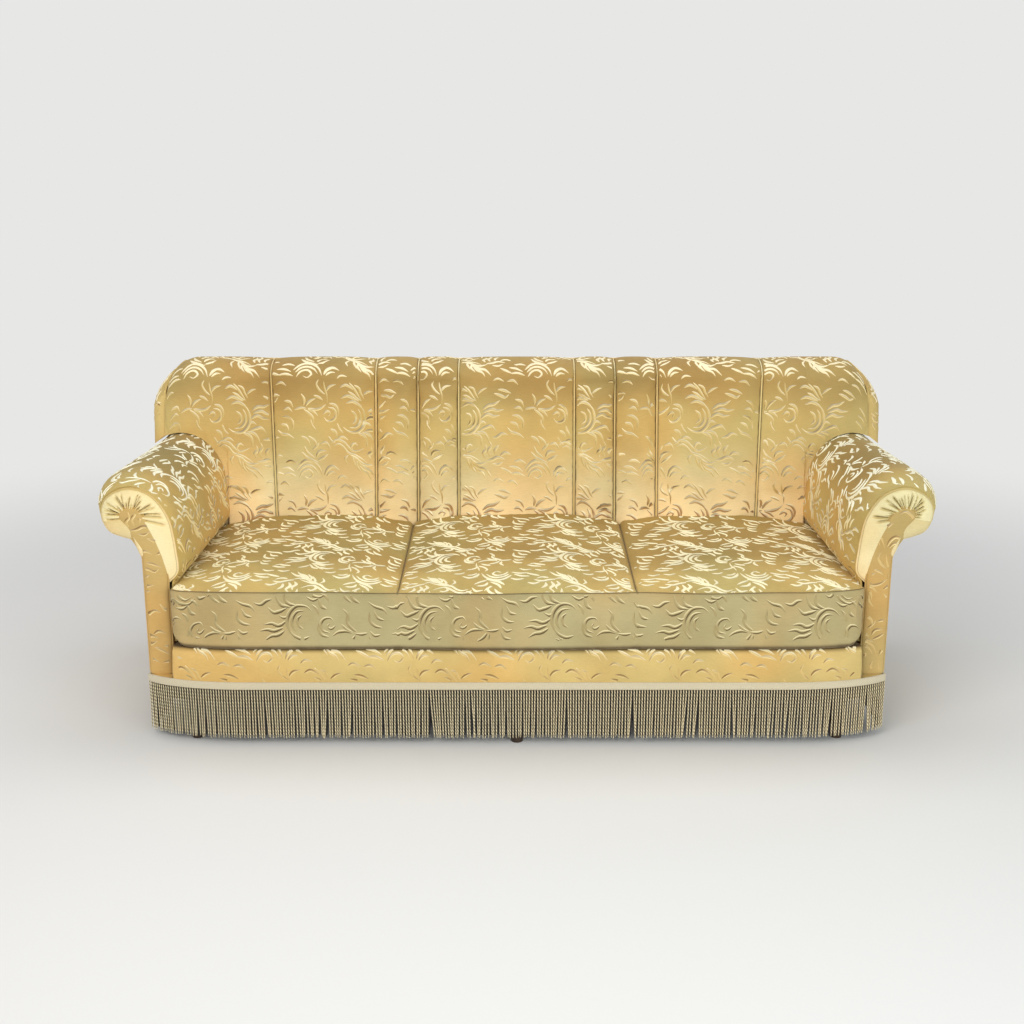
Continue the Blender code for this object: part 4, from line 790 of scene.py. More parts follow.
def laid_strokes(surface, shift):
    """The tile's strokes in every repeat that reaches the surface."""
    laid = []
    for across in repeats(surface.u, shift[0], TILE[0]):
        for along in repeats(surface.v, shift[1], TILE[1]):
            for row in STROKES:
                moved = row + (across, along, 0.0, 0.0)
                (low_u, low_v), (high_u, high_v) = moved[:, :2].min(axis=0), moved[:, :2].max(axis=0)
                if high_u > surface.u.min() and low_u < surface.u.max():
                    if high_v > surface.v.min() and low_v < surface.v.max():
                        laid.append(moved)
    return laid


def whole_runs(strips, good):
    """The runs of three or more points in a row that lie on the surface, strip by strip."""
    runs, start = [], 0
    for strip in strips:
        kept = good[start : start + len(strip)]
        first = None
        for number in range(len(strip) + 1):
            if number < len(strip) and kept[number]:
                first = number if first is None else first
            elif first is not None:
                if number - first >= 3:
                    runs.append(np.arange(start + first, start + number))
                first = None
        start += len(strip)
    return runs


def relief(surface, shift=(0.0, 0.0), height=0.0014):
    """The pattern on a surface, as closed low strips; gives points, faces and shades."""
    strips = laid_strokes(surface, shift)
    if not strips:
        return np.zeros((0, 3)), [], []
    rows = np.vstack(strips)
    reach = rows[:, 2]
    side_u, side_v = -np.sin(rows[:, 3]), np.cos(rows[:, 3])
    good = surface.covers(rows[:, 0], rows[:, 1])
    for sign in (-1, 1):
        good &= surface.covers(rows[:, 0] + sign * side_u * reach, rows[:, 1] + sign * side_v * reach)
    runs = whole_runs(strips, good)
    if not runs:
        return np.zeros((0, 3)), [], []
    order = np.concatenate(runs)
    rows, side_u, side_v = rows[order], side_u[order], side_v[order]
    section = ((-1.0, -0.35), (-0.42, 0.85), (0.30, 1.0), (1.0, -0.35))
    columns, shades = [], []
    # Painted light on each stroke: edges facing up and left in the tile get painted shade and spread wider,
    # the others a painted highlight.
    for reach, lift in section:
        lean = (side_v * 0.95 - side_u * 0.35) * np.sign(reach)
        spread = rows[:, 2] * reach * (1 + 0.5 * np.clip(lean, 0, 1) * (abs(reach) == 1.0))
        u = rows[:, 0] + side_u * spread
        v = rows[:, 1] + side_v * spread
        fullness = np.clip(rows[:, 2] / STROKE_FULL, 0.3, 1.0)
        columns.append(surface.place(u, v, height * lift * fullness))
        shades.append(np.clip(lean * min(1.0, abs(reach) * 1.6), -1, 1))
    points = np.stack(columns, axis=1).reshape(-1, 3)
    faces, start = [], 0
    for run in runs:
        end = start + 4 * (len(run) - 1)
        for a in range(start, end, 4):
            for corner in range(4):
                after = (corner + 1) % 4
                faces.append((a + corner, a + 4 + corner, a + 4 + after, a + after))
        faces.append((start, start + 1, start + 2, start + 3))
        faces.append((end + 3, end + 2, end + 1, end))
        start = end + 4
    return points, faces, list(np.stack(shades, axis=1).reshape(-1))


def off_seams(seams, margin):
    return lambda u, v: np.min([np.abs(np.abs(u) - seam) for seam in seams], axis=0) > margin


seat_x = np.linspace(-SEAT_HALF_WIDTH, SEAT_HALF_WIDTH, 141)
beside = (-0.009, -0.005, -0.0022, 0.0, 0.0022, 0.005, 0.009)
near_seams = [side * SEAM_X + step for side in (-1, 1) for step in beside]
ends = [side * (SEAT_HALF_WIDTH - step) for side in (-1, 1) for step in (0.0015, 0.004, 0.008)]
seat_x = np.unique(np.round(np.concatenate([seat_x, near_seams, ends]), 5))
beside_seam = np.abs(np.abs(seat_x) - SEAM_X)
seat_grid = np.array([seat_column(x) for x in seat_x])
pinned = np.zeros(seat_grid.shape[:2], bool)
pinned[[0, 1, -2, -1]] = True
pinned[:, [0, EDGE_ROW, -1, -2]] = True
pinned[beside_seam < 0.0025, :TOP_ROWS] = True
seat_grid = stuffed(seat_grid, pinned, 5.0, 0.007)
rings = []
for x, column in zip(seat_x, seat_grid.copy()):
    past = max(0.0, abs(x) - (SEAT_HALF_WIDTH - END_ROUND)) / END_ROUND
    inset = 0.008 * (1 - math.sqrt(max(0.0, 1 - past**2)))
    column[:TOP_ROWS, 2] -= inset
    column[TOP_ROWS:, 1] += inset
    under_z = column[-1][2] + 0.001
    under = [(x, column[-1][1] + 0.05, under_z), (x, 0.10, under_z), (x, column[0][1], under_z)]
    rings.append(np.vstack([column, under]))
seat_v = travelled(seat_grid)
mirrored, mirrored_v, clear = seat_grid[::-1], seat_v[::-1], off_seams((SEAM_X,), 0.004)
top_surface = Draped(mirrored[:, :TOP_ROWS], -seat_x[::-1], mirrored_v[:, :TOP_ROWS], clear)
boxing_surface = Draped(mirrored[:, EDGE_ROW:-3], -seat_x[::-1], mirrored_v[:, EDGE_ROW:-3])
points, faces = loft(rings)
around = len(rings[0])
seat_rows = TOP_ROWS + BOXING_ROWS
kinds = [3 if EDGE_ROW <= number % around < seat_rows else 0 for number in range(len(faces) - 2)] + [3, 3]
boxing_points, boxing_faces, boxing_leaning = relief(boxing_surface, (0.05, 0.02))
top_points, top_faces, top_leaning = relief(top_surface, (0.02, 0.0), height=0.0016)
edge_seam = seat_grid[:, EDGE_ROW] + (0.0, -0.0012, 0.0)
seam_points, seam_faces = tube(edge_seam[2:-2], 0.0014, 5)
seat_parts = [
    (points, faces, kinds),
    (top_points, top_faces, 1),
    (boxing_points, boxing_faces, 2),
    (seam_points, seam_faces, 3),
]
# Painted shade: beside the two seams, along the gap under the boxing, at the seat's ends and on the front
# seam's cord; the pattern's shades paint light on its strokes' edges.
painted_shade = np.zeros((len(seat_x), around))
painted_shade[:, :TOP_ROWS] = 0.85 * np.exp(-((beside_seam / 0.0030) ** 2))[:, None]
painted_shade[:, seat_rows - 3 :] = (0.10, 0.75) + (1.0,) * (around - seat_rows + 1)
painted_shade[np.abs(seat_x) > SEAT_HALF_WIDTH - 0.002] = 0.8
shades = list(painted_shade.reshape(-1)) + top_leaning + boxing_leaning + [0.6] * len(seam_points)
seat = build(
    "seat",
    seat_parts,
    [seat_olive, ivory_raised, boxing_raised, boxing_green],
    ("seat_cover", "seat_padding", "seat_hessian"),
    shades=shades,
)

# Base border: a strip of gold velvet padded over the front rail and round its bent ends. It goes
# under the seat's boxing above and under the fringe's header below. Beneath each arm's band it is
# cut down to a ledge.

BORDER_INSET = 0.0053
BORDER_LOW, BORDER_HIGH = 0.116, 0.2616
BORDER_SECTION = [
    (-0.0050, BORDER_LOW), (-0.0050, 0.152), (0.0004, 0.1528), (0.0006, 0.166), (0.0030, 0.178),
    (0.0052, 0.195), (0.0062, 0.214), (0.0056, 0.232), (0.0034, 0.247), (0.0006, 0.2565),
    (-0.0040, 0.2612), (-0.0100, BORDER_HIGH), (-0.030, BORDER_HIGH), (-0.030, BORDER_LOW),
]  # fmt: skip
BORDER_LEDGE_Z = 0.1716
BASE_HALF_WIDTH = 0.945
BAND_INNER_X = 0.8785

base_gold = velvet("base_velvet", linear(214, 182, 114), linear(204, 170, 98))
base_raised = raised(
    "base_pattern", linear(250, 228, 172), linear(214, 182, 116), linear(132, 98, 46), linear(252, 238, 198)
)


def upholstered(name, bodies, surfaces, ground, pattern, nodes, shift=(0.0, 0.0), others=(), painted_shade=None):
    """A covered piece: its bodies in the ground velvet, the pattern raised on its surfaces.

    Painted shade may be given as a darkness for each point of the first body.
    """
    parts = [(body[0], body[1], body[2] if len(body) > 2 else 0) for body in bodies]
    shades = [0.0] * sum(len(points) for points, *rest in parts)
    if painted_shade is not None:
        shades[: len(painted_shade)] = painted_shade
    for surface in surfaces:
        points, faces, leaning = relief(surface, shift)
        parts.append((points, faces, 1))
        shades += leaning
    return build(name, parts, [ground, pattern, *others], nodes, shades=shades)


def directions(path):
    """The direction of a path at each of its points."""
    along = np.gradient(path, axis=0)
    return along / np.linalg.norm(along, axis=1)[:, None]


border_end = plan_angle(BASE_HALF_WIDTH - 0.001, BORDER_INSET)
straight = [(x, plan_y(x, BORDER_INSET)) for x in np.arange(0.0, BEND_START, 0.012)]
bent = [plan_point(angle, BORDER_INSET) for angle in np.linspace(0.0, border_end, 34)]
half = np.array(straight + bent)
plan = np.vstack([half[:0:-1] * (-1, 1), half])
rings, painted_shade = [], []
for (x, y), (dx, dy) in zip(plan, directions(plan)):
    ring = []
    for out, z in BORDER_SECTION:
        if abs(x) >= BAND_INNER_X:
            z = min(z, BORDER_LEDGE_Z)
            out = min(out, 0.0006) if z < BORDER_LEDGE_Z or out > -0.02 else out
        ring.append((x + dy * out, y - dx * out, z))
    rings.append(ring)
    # Painted shade: behind the fringe's cords, along the top under the seat's boxing and beside each band.
    at_band = 0.9 * (0.873 < abs(ring[0][0]) < 0.881)
    for x, y, z in ring:
        painted_shade.append(max(0.9 * (z < 0.1521), 1.0 * (z > 0.2600), 0.45 * (z > 0.2560), at_band))
tall = np.abs(plan[:, 0]) < 0.870
border_grid = np.array(rings)[tall, 3:12]
border_u = travelled(plan[tall])
border_surface = Draped(border_grid, border_u - border_u[-1] / 2, travelled(border_grid))
front_border = upholstered(
    "front_border",
    [loft(rings)],
    [border_surface],
    base_gold,
    base_raised,
    ("base_border",),
    (0.0, 0.155),
    painted_shade=painted_shade,
)

# Arm covers: olive-gold velvet drawn from the seat side over the padded roll and tacked down under
# the roll's neck. Each one swells behind its front seam, where it puckers a little, and runs back
# to the rear post. Cover and padding are one piece here.

SIDES = ((-1, "left"), (1, "right"))
ARM_FRONT_Y = -0.360
BOARD_FRONT_Y = -0.3523
NECK_Z = 0.480
ROLL_LOW = 0.430
ROLL_FRONT = (0.8610, 1.040, 0.660)
ROLL = (
    (-0.140, 0.070), (-0.127, 0.304), (-0.102, 0.461), (-0.045, 0.657), (0.108, 0.848), (0.299, 0.957),
    (0.548, 1.000), (0.777, 0.957), (0.936, 0.870), (1.000, 0.739), (0.968, 0.615), (0.873, 0.520),
    (0.700, 0.470), (0.529, 0.420),
)  # fmt: skip
ARM_FOOT = ((0.8765, 0.2545), (0.8765, 0.345), (0.8740, 0.405))
ARM_REAR_INSET = 0.0065
COVER_THICKNESS = 0.005

arm_olive = velvet("arm_velvet", linear(200, 166, 92), linear(144, 120, 60), [TOWARDS_FRONT])
arm_raised = raised(
    "arm_pattern", linear(255, 246, 208), linear(244, 222, 162), linear(146, 114, 60), linear(255, 252, 226)
)


def roll(inner, outer, top):
    """The roll's outline, fitted between an inner and an outer x and under a top."""
    across, up = np.array(ROLL).T
    across = (across + 0.14) / 1.14
    return np.stack([inner + (outer - inner) * across, ROLL_LOW + (top - ROLL_LOW) * up], axis=1)


def arm_section(y, count=72):
    """The right arm's cover in section at y, from its foot by the seat over the roll to the neck."""
    swell = 1 - (1 - min(1.0, (y - ARM_FRONT_Y) / 0.120)) ** 2
    rearward = (y - ARM_FRONT_Y) / (HALF_DEPTH - ARM_FRONT_Y)
    front = roll(*ROLL_FRONT)
    full = roll(0.845 - 0.013 * rearward, 1.0715 - 0.0215 * rearward, 0.690 - 0.015 * rearward)
    path = front + (full - front) * swell
    return smooth_path(np.vstack([ARM_FOOT, path, [(BASE_HALF_WIDTH, NECK_Z)]]), count)


def left_of(path):
    """The direction to the left of a flat path at each of its points."""
    along = directions(path)
    return np.stack([-along[:, 1], along[:, 0]], axis=1)


def arm_cover(side):
    """Points of the cover: stations from its front to its rear, each with its section."""
    neck_y = rear_y(NECK_Z, ARM_REAR_INSET)
    grid = []
    for share in np.linspace(0, 1, 58) ** 1.35:
        y = BOARD_FRONT_Y + (neck_y - BOARD_FRONT_Y) * share
        section = arm_section(y)
        pucker = 0.0011 * math.exp(-(y - BOARD_FRONT_Y) / 0.022)
        wave = np.sin(np.arange(len(section)) * 1.9) * pucker
        section = section + left_of(section) * wave[:, None]
        lean = (rear_y(section[:, 1], ARM_REAR_INSET) - neck_y) * share
        grid.append(np.stack([side * section[:, 0], y + lean, section[:, 1]], axis=1))
    return np.array(grid)


for side, hand in SIDES:
    grid = arm_cover(side)[::side]
    held = np.zeros(grid.shape[:2], bool)
    held[[0, -1]] = True
    held[:, [0, 1, -1]] = True
    grid = stuffed(grid, held, -3.5, 0.005)[::side]
    rings = []
    for column in grid:
        flat = column[:, [0, 2]] * (side, 1)
        inner = (flat - left_of(flat) * COVER_THICKNESS)[::-1]
        lining = np.stack([side * inner[:, 0], column[::-1, 1], inner[:, 1]], axis=1)
        rings.append(np.vstack([column, lining]))
    surface = Draped(grid[::-side], -side * grid[::-side, 30, 1], travelled(grid)[::-side])
    cover = upholstered(
        f"arm_{hand}",
        [loft(rings)],
        [surface],
        arm_olive,
        arm_raised,
        (f"arm_cover_{hand}", f"arm_padding_{hand}"),
        (0.06 * side, 0.03),
    )

# Arm facings: each scroll's front is closed with pale velvet, pleated out from the band's round
# end to a welt along the arm cover's front seam. Below the scroll it runs down inside the leg.

BAND_END = (0.973, 0.590)
LEG_INNER_X = 0.883
LEG_OUTER_X = 0.9445
WELT_LOW_Z = 0.4180
LEDGE_TOP = 0.172

facing_ivory = velvet(
    "facing_velvet",
    linear(236, 219, 170),
    linear(216, 194, 136),
    [(2, 0.60, 0.42, linear(238, 220, 174))],
    sheen=0.2,
)
# The gold ground darkens towards the crest, painted shade there, and pales towards the seat.
gold = velvet(
    "gold_velvet",
    linear(203, 176, 110),
    linear(190, 160, 90),
    [(2, 0.70, 0.44, linear(242, 220, 172)), (2, 0.70, 0.84, linear(172, 143, 82))],
)
gold_raised = raised(
    "gold_pattern",
    linear(250, 230, 174),
    linear(214, 186, 118),
    linear(104, 78, 36),
    linear(252, 238, 198),
    linear(170, 122, 70),
)


def front_welt(count):
    """The line of the arm's front edge: up the seat side, over the roll and down to the neck."""
    low, neck = (LEG_INNER_X, WELT_LOW_Z), (BASE_HALF_WIDTH, NECK_Z)
    return smooth_path(np.vstack([[low], roll(*ROLL_FRONT), [neck]]), count)


def drawn_pleats(side):
    """Rows of angle, depth, reach and sway of the pleats round a scroll."""
    random.seed(4 if side > 0 else 9)
    pleats = []
    for angle in np.arange(-4.0, 200.0, 8.5):
        depth, reach = random.uniform(0.0045, 0.0095), random.choice((0.60, 0.80, 0.90, 0.95, 0.98))
        turned = math.radians(angle + random.uniform(-4.5, 4.5))
        pleats.append((turned, depth, reach, random.uniform(-0.24, 0.24)))
    return pleats


def pleated(angle, share, pleats):
    """How deep the pleats fold in and how much shade is painted in them, at an angle and a share of the way
    out.
    """
    width = 0.070 * (0.50 + 0.50 * (1 - share))
    fold, crease_shade = 0.0, 0.0
    for pleat, depth, reach, sway in pleats:
        off = (angle - pleat - sway * (1 - share) + math.pi) % math.tau - math.pi
        fade = max(0.0, min(1.0, (reach - share) / 0.16)) * min(1.0, share / 0.16)
        wide = math.exp(-((off / width) ** 2))
        dark = 0.70 * math.exp(-((off / (width * 0.36)) ** 2)) + 0.22 * wide
        fold += wide * depth * fade
        crease_shade = max(crease_shade, dark * fade * (0.55 + 60 * (depth - 0.0045)))
    return fold, crease_shade


def pillow(outline, lift, profile, flat_back):
    """A puffed plate: an outline of (a, b), lifted by (inset, height) steps to a flat middle.

    lift(a, b, height) gives the point, and flat_back is the height of the plate's rear.
    """
    outline = np.asarray(outline, float)
    before, after = np.roll(outline, 1, axis=0), np.roll(outline, -1, axis=0)
    along = after - before
    along /= np.maximum(np.linalg.norm(along, axis=1), 1e-9)[:, None]
    area = np.sum(outline[:, 0] * after[:, 1] - after[:, 0] * outline[:, 1])
    inward = np.stack([-along[:, 1], along[:, 0]], axis=1) * math.copysign(1, area)
    rings = [[lift(a, b, flat_back) for a, b in outline]]
    for inset, height in profile:
        rings.append([lift(a, b, height) for a, b in outline + inward * inset])
    return loft(rings)


for side, hand in SIDES:
    neck, low = (BASE_HALF_WIDTH, NECK_Z), (LEG_INNER_X, WELT_LOW_Z)
    edge = np.vstack([front_welt(260), evened([neck, (0.915, 0.440), low], 26)[1:-1]])
    angles = np.unwrap(np.arctan2(edge[:, 1] - BAND_END[1], edge[:, 0] - BAND_END[0]))
    pleats = drawn_pleats(side)
    rings, painted_shade = [], []
    rim, inside = np.linspace(1.0, 0.90, 5, endpoint=False), np.linspace(0.90, 0.12, 30)
    for share in np.concatenate([rim, inside]):
        ring = []
        puff = 0.0098 * math.sin(math.pi * min(1.0, (1 - share) * 1.05)) ** 0.55
        for (x, z), angle in zip(BAND_END + (edge - BAND_END) * share, angles):
            # Painted shade in the pleats, and along the rim.
            fold, crease_shade = pleated(angle, share, pleats)
            ring.append((side * x, ARM_FRONT_Y - 0.001 - puff + fold, z))
            painted_shade.append(max(crease_shade, 0.5 * (share > 0.985)))
        rings.append(ring)
    rings.insert(0, [(x, BOARD_FRONT_Y - 0.0003, z) for x, y, z in rings[0]])
    scroll_points, scroll_faces = loft(rings)
    outer = (angles % math.tau > 1.38 * math.pi) & (angles % math.tau < 1.94 * math.pi)
    kinds = [2 * int(outer[number % len(edge)]) for number in range(len(scroll_faces) - 2)] + [0, 2]

    def lift(x, z, height):
        return (side * x, ARM_FRONT_Y - height, z)

    inner_x, leg_low = LEG_INNER_X + 0.0005, LEDGE_TOP + 0.0004
    leg = [(inner_x, leg_low), (inner_x, 0.425), (LEG_OUTER_X, 0.478), (LEG_OUTER_X, leg_low)]
    leg_points, leg_faces = pillow(leg, lift, [(0.0, -0.001), (0.002, 0.0)], -0.0074)
    welt = np.array([(side * x, ARM_FRONT_Y + 0.0030, z) for x, z in front_welt(110)])
    facing = upholstered(
        f"scroll_{hand}",
        [(scroll_points, scroll_faces, kinds), (leg_points, leg_faces, 2), (*tube(welt, 0.0036, 8), 2)],
        [],
        facing_ivory,
        gold_raised,
        (f"arm_facing_{hand}",),
        others=(gold,),
        painted_shade=[0.0] * len(edge) + painted_shade,
    )

# Front bands: a padded strip of gold velvet on a shaped board, edged with piping. It runs straight
# up each leg and curls outwards into the scroll, where its round end gathers the pleats.

BAND_OUTLINE = [
    (0.883, 0.1550), (0.883, 0.300), (0.883, 0.414), (0.8849, 0.4588), (0.8929, 0.5068),
    (0.9090, 0.5516), (0.9295, 0.5870), (0.9480, 0.6080), (0.9641, 0.6144), (0.9830, 0.6130),
    (0.9960, 0.6010), (0.9985, 0.5850), (0.9860, 0.5675), (0.9665, 0.5290), (0.9490, 0.5000),
    (0.945, 0.4700), (0.945, 0.300), (0.945, 0.1550),
]  # fmt: skip
BAND_PROFILE = [
    (0.0, 0.0030), (0.0008, 0.0052), (0.0025, 0.0075), (0.0055, 0.0095), (0.0100, 0.0108), (0.0150, 0.0114),
]  # fmt: skip

band_gold = velvet("band_velvet", linear(194, 162, 100), linear(196, 162, 94))


class Flat:
    """A flat or raked panel: u and v are measured along two directions from an origin."""

    def __init__(self, origin, across, along, outline, margin):
        self.origin = np.asarray(origin, float)
        self.across, self.along = np.asarray(across, float), np.asarray(along, float)
        self.normal = np.cross(self.across, self.along)
        self.normal /= np.linalg.norm(self.normal)
        self.outline = np.asarray(outline, float)
        self.margin = margin
        self.u = np.array([self.outline[:, 0].min(), self.outline[:, 0].max()])
        self.v = np.array([[self.outline[:, 1].min(), self.outline[:, 1].max()]])

    def covers(self, u, v):
        inside = np.zeros(len(u), bool)
        near = np.full(len(u), 9.0)
        for (x0, y0), (x1, y1) in zip(self.outline, np.roll(self.outline, -1, axis=0)):
            crosses = (y0 > v) != (y1 > v)
            if y1 != y0:
                inside ^= crosses & (u < (x1 - x0) * (v - y0) / (y1 - y0) + x0)
            length = max((x1 - x0) ** 2 + (y1 - y0) ** 2, 1e-12)
            share = np.clip(((u - x0) * (x1 - x0) + (v - y0) * (y1 - y0)) / length, 0, 1)
            near = np.minimum(near, np.hypot(u - x0 - share * (x1 - x0), v - y0 - share * (y1 - y0)))
        return inside & (near > self.margin)

    def place(self, u, v, height):
        plane = self.origin + np.outer(u, self.across) + np.outer(v, self.along)
        return plane + np.outer(height, self.normal)


for side, hand in SIDES:

    def lift(x, z, height):
        return (side * x, ARM_FRONT_Y - 0.0003 - height, max(z, LEDGE_TOP + 0.0002))

    curl = smooth_path(BAND_OUTLINE[1:-1], 120)
    up, down = evened([BAND_OUTLINE[0], curl[0]], 14), evened([curl[-1], BAND_OUTLINE[-1]], 14)
    outline = np.vstack([up[:-1], curl, down[1:]])
    body = pillow(outline, lift, BAND_PROFILE, 0.0)
    edge = np.array([lift(x, z, 0.0040) for x, z in outline])
    piping = tube(edge[edge[:, 2] > LEDGE_TOP + 0.002], 0.0019, 6)
    panel = np.array([(side * x, max(z, LEDGE_TOP + 0.004)) for x, z in outline])
    surface = Flat((0.0, ARM_FRONT_Y - BAND_PROFILE[-1][1], 0.0), (1, 0, 0), (0, 0, 1), panel, 0.0060)
    # Painted shade on the band's outer rings, along its edge.
    band = upholstered(
        f"front_band_{hand}",
        [body, (*piping, 0)],
        [surface],
        band_gold,
        base_raised,
        (f"arm_band_{hand}",),
        (side * 0.8515, 0.018),
        painted_shade=[0.75 * (ring < 3) for ring in range(len(BAND_PROFILE) + 1) for point in outline],
    )

# Outside arms: a flat panel of gold velvet from under the roll down to the base, padded thinly and
# finished with piping along the neck. It is sewn to the outside back at its rear edge.

PANEL_LOW, PANEL_HIGH = 0.1155, 0.4745
PANEL_X = BASE_HALF_WIDTH - 0.0095

for side, hand in SIDES:

    def lift(y, z, height):
        return (side * (PANEL_X + height), y, z)

    rear_low, rear_high = rear_y(PANEL_LOW, 0.0068), rear_y(PANEL_HIGH, 0.0068)
    front = BOARD_FRONT_Y + 0.0004
    outline = [(front, PANEL_LOW), (rear_low, PANEL_LOW), (rear_high, PANEL_HIGH), (front, PANEL_HIGH)]
    corners = np.vstack([evened([a, b], 12)[:-1] for a, b in zip(outline, outline[1:] + outline[:1])])
    body = pillow(corners, lift, [(0.0, 0.0070), (0.0015, 0.0090), (0.0050, 0.0098)], 0.0)
    face = (side * (BASE_HALF_WIDTH + 0.0003), 0, 0)
    surface = Flat(face, (0, side, 0), (0, 0, 1), [(side * y, z) for y, z in outline], 0.008)
    neck_y = np.linspace(BOARD_FRONT_Y, rear_high, 30)
    neck = np.array([(side * (BASE_HALF_WIDTH - 0.001), y, 0.4775) for y in neck_y])
    panel = upholstered(
        f"arm_panel_{hand}",
        [body, tube(neck, 0.0028, 6)],
        [surface],
        base_gold,
        base_raised,
        (f"outside_arm_{hand}",),
        (0.1, 0.1),
    )

# Inside back: nine channels of gold velvet, stuffed one by one, with a piped seam between each two.
# They roll over the crest and are tacked behind it. Beside each arm the cover is gathered and
# pushed down between arm and back. Cover and padding are one piece here.

COVER_HALF_WIDTH = 1.0145
COVER_CORNER = 0.090
COVER_LOW = 0.2725
BACK_TOP = 0.885
CREST_Y = 0.330
CHANNEL_SEAMS = (0.167, 0.284, 0.406, 0.700)
CHANNEL_EDGES = (-CHANNEL_SEAMS[0], *CHANNEL_SEAMS, COVER_HALF_WIDTH)
CHANNEL_DEPTH = 0.016
COVER_ROWS = 46
CREST_ROWS = 16
GATHER_INNER_X = 0.826

seam_piping = velvet("seam_piping", linear(226, 202, 140), linear(232, 214, 164), sheen=0.2)


def crest_path():
    """The arm's upper side under the back, with a little clearance."""
    path = arm_section(0.160, 160)
    path = path + left_of(path) * 0.0025
    return path[int(np.argmin(path[:, 0])) : int(np.argmax(path[:, 0])) + 1]


CREST_LINE = crest_path()
NOTCH_X = CREST_LINE[0][0]


def arm_crest(x):
    return float(np.interp(abs(x), CREST_LINE[:, 0], CREST_LINE[:, 1]))


def channel_place(x):
    """Where x lies in its channel, from -1 at one seam to 1 at the other."""
    for low, high in zip(CHANNEL_EDGES, CHANNEL_EDGES[1:]):
        if abs(x) <= high + 1e-9:
            return (2 * abs(x) - low - high) / (high - low)
    return 1.0


def channel_drop(x):
    """How deep the cover lies at x below its channel's crown, from 0 to 1."""
    place = abs(channel_place(x))
    if abs(x) > CHANNEL_SEAMS[-1] and channel_place(x) > 0:
        place = place * 0.8
    return 1 - (1 - min(1.0, place) ** 3.2) ** 0.55


def back_column(x):
    """The cover in section at x: up its raked front, then round over the crest."""
    low = COVER_LOW if abs(x) <= NOTCH_X else arm_crest(x) + 0.001
    top = BACK_TOP - corner_fall(x, COVER_HALF_WIDTH, COVER_CORNER)
    turn = top - 0.060
    drop = channel_drop(x)
    path = []
    for share in np.linspace(0, 1, COVER_ROWS, endpoint=False):
        z = low + (turn - low) * share
        path.append((face_y(z) + CHANNEL_DEPTH * drop, z))
    depth, height = CREST_Y - (face_y(turn) + CHANNEL_DEPTH * drop), 0.061 - 0.010 * drop
    for angle in np.linspace(0, math.pi / 2, CREST_ROWS):
        path.append((CREST_Y - depth * math.cos(angle), turn + height * math.sin(angle) ** 0.92))
    lean = 0.034 * math.copysign(1, x) * math.exp(-(((abs(x) - 0.70) / 0.10) ** 2))
    return [(x + lean * (z - 0.58), y, z) for y, z in path]


right = [0.0]
for low, high in zip(CHANNEL_EDGES, CHANNEL_EDGES[1:]):
    beside = [0.0, 0.0022, 0.0040, 0.0062, 0.0090, 0.0130]
    right += [low + step for step in beside] + [high - step for step in beside]
    middle = np.linspace(low + beside[-1], high - beside[-1], max(4, round((high - low) / 0.0135)))
    right += list(middle[1:-1])
right = [x for x in right if x >= 0] + [NOTCH_X, NOTCH_X + 0.0006] + list(CREST_LINE[2:40:3, 0])
right = np.unique(np.round(right, 5))
back_x = np.concatenate([-right[:0:-1], right])
back_grid = np.array([back_column(x) for x in back_x])
beside_seam = np.min([np.abs(np.abs(back_x) - seam) for seam in CHANNEL_SEAMS], axis=0)
held = np.zeros(back_grid.shape[:2], bool)
held[[0, -1]] = True
held[:, [0, 1, -1]] = True
held[beside_seam < 0.0008] = True
held[np.abs(np.abs(back_x) - NOTCH_X) < 0.002, :20] = True
back_grid = stuffed(back_grid, held, 4.0, 0.006)
rings, painted_shade = [], []
for x, column, near in zip(back_x, back_grid, beside_seam):
    behind = [(x, CREST_Y, column[-1][2] - 0.020)]
    for z in np.linspace(column[-1][2] - 0.060, column[0][2], 6):
        behind.append((x, face_y(z) + 0.024, z))
    rings.append(np.vstack([column, behind]))
    # Painted shade beside each seam's piping.
    painted_shade += [0.95 * math.exp(-((near / 0.0042) ** 2))] * len(rings[-1])
back_v = travelled(back_grid)
back_surface = Draped(back_grid, back_x, back_v - back_v[:, -1:], off_seams(CHANNEL_SEAMS, 0.005))
bodies = [loft(rings)]
arm_side = arm_section(0.160, 160)
arm_side = arm_side[: int(np.argmin(arm_side[:, 0])) + 1]
for side, hand in SIDES:
    folds = []
    for z in np.linspace(0.2730, 0.462, 24):
        last = float(np.interp(z, arm_side[:, 1], arm_side[:, 0])) - 0.0014
        across = np.linspace(GATHER_INNER_X, max(last, GATHER_INNER_X + 0.0015), 26)
        gather = np.sin(across * 640 + 2.0 * math.sin(z * 30))
        gather *= 0.0022 * (0.4 + 0.6 * math.cos((z - 0.37) * 12))
        front = np.stack([side * across, face_y(z) + 0.012 + gather, np.full(26, z)], axis=1)
        folds.append(np.vstack([front, front[::-1] + (0.0, 0.016, 0.0)]))
        # Painted shade on the gathered folds, darkest where they sink back, and behind them.
        painted_shade += list(0.35 + 0.3 * (gather > 0.0008)) + [0.6] * 26
    bodies.append(loft(folds))
for seam in CHANNEL_SEAMS:
    for side, hand in SIDES:
        column = back_grid[int(np.argmin(np.abs(back_x - side * seam)))]
        welt = evened(column[1:], 90)
        turn = directions(welt)
        proud = np.stack([np.zeros(len(welt)), -turn[:, 2], turn[:, 1]], axis=1) * 0.0016
        bodies.append((*tube(welt + proud, 0.0024, 8), 2))
inside_back = upholstered(
    "inside_back",
    bodies,
    [back_surface],
    gold,
    gold_raised,
    ("inside_back_cover", "back_padding"),
    (0.03, -0.02),
    others=(seam_piping,),
    painted_shade=painted_shade,
)

# Back borders: strips of gold velvet that close the back between its crest seam and its rear. One
# goes up from each arm and round the corner, and one lies along the top. They are thinly padded.

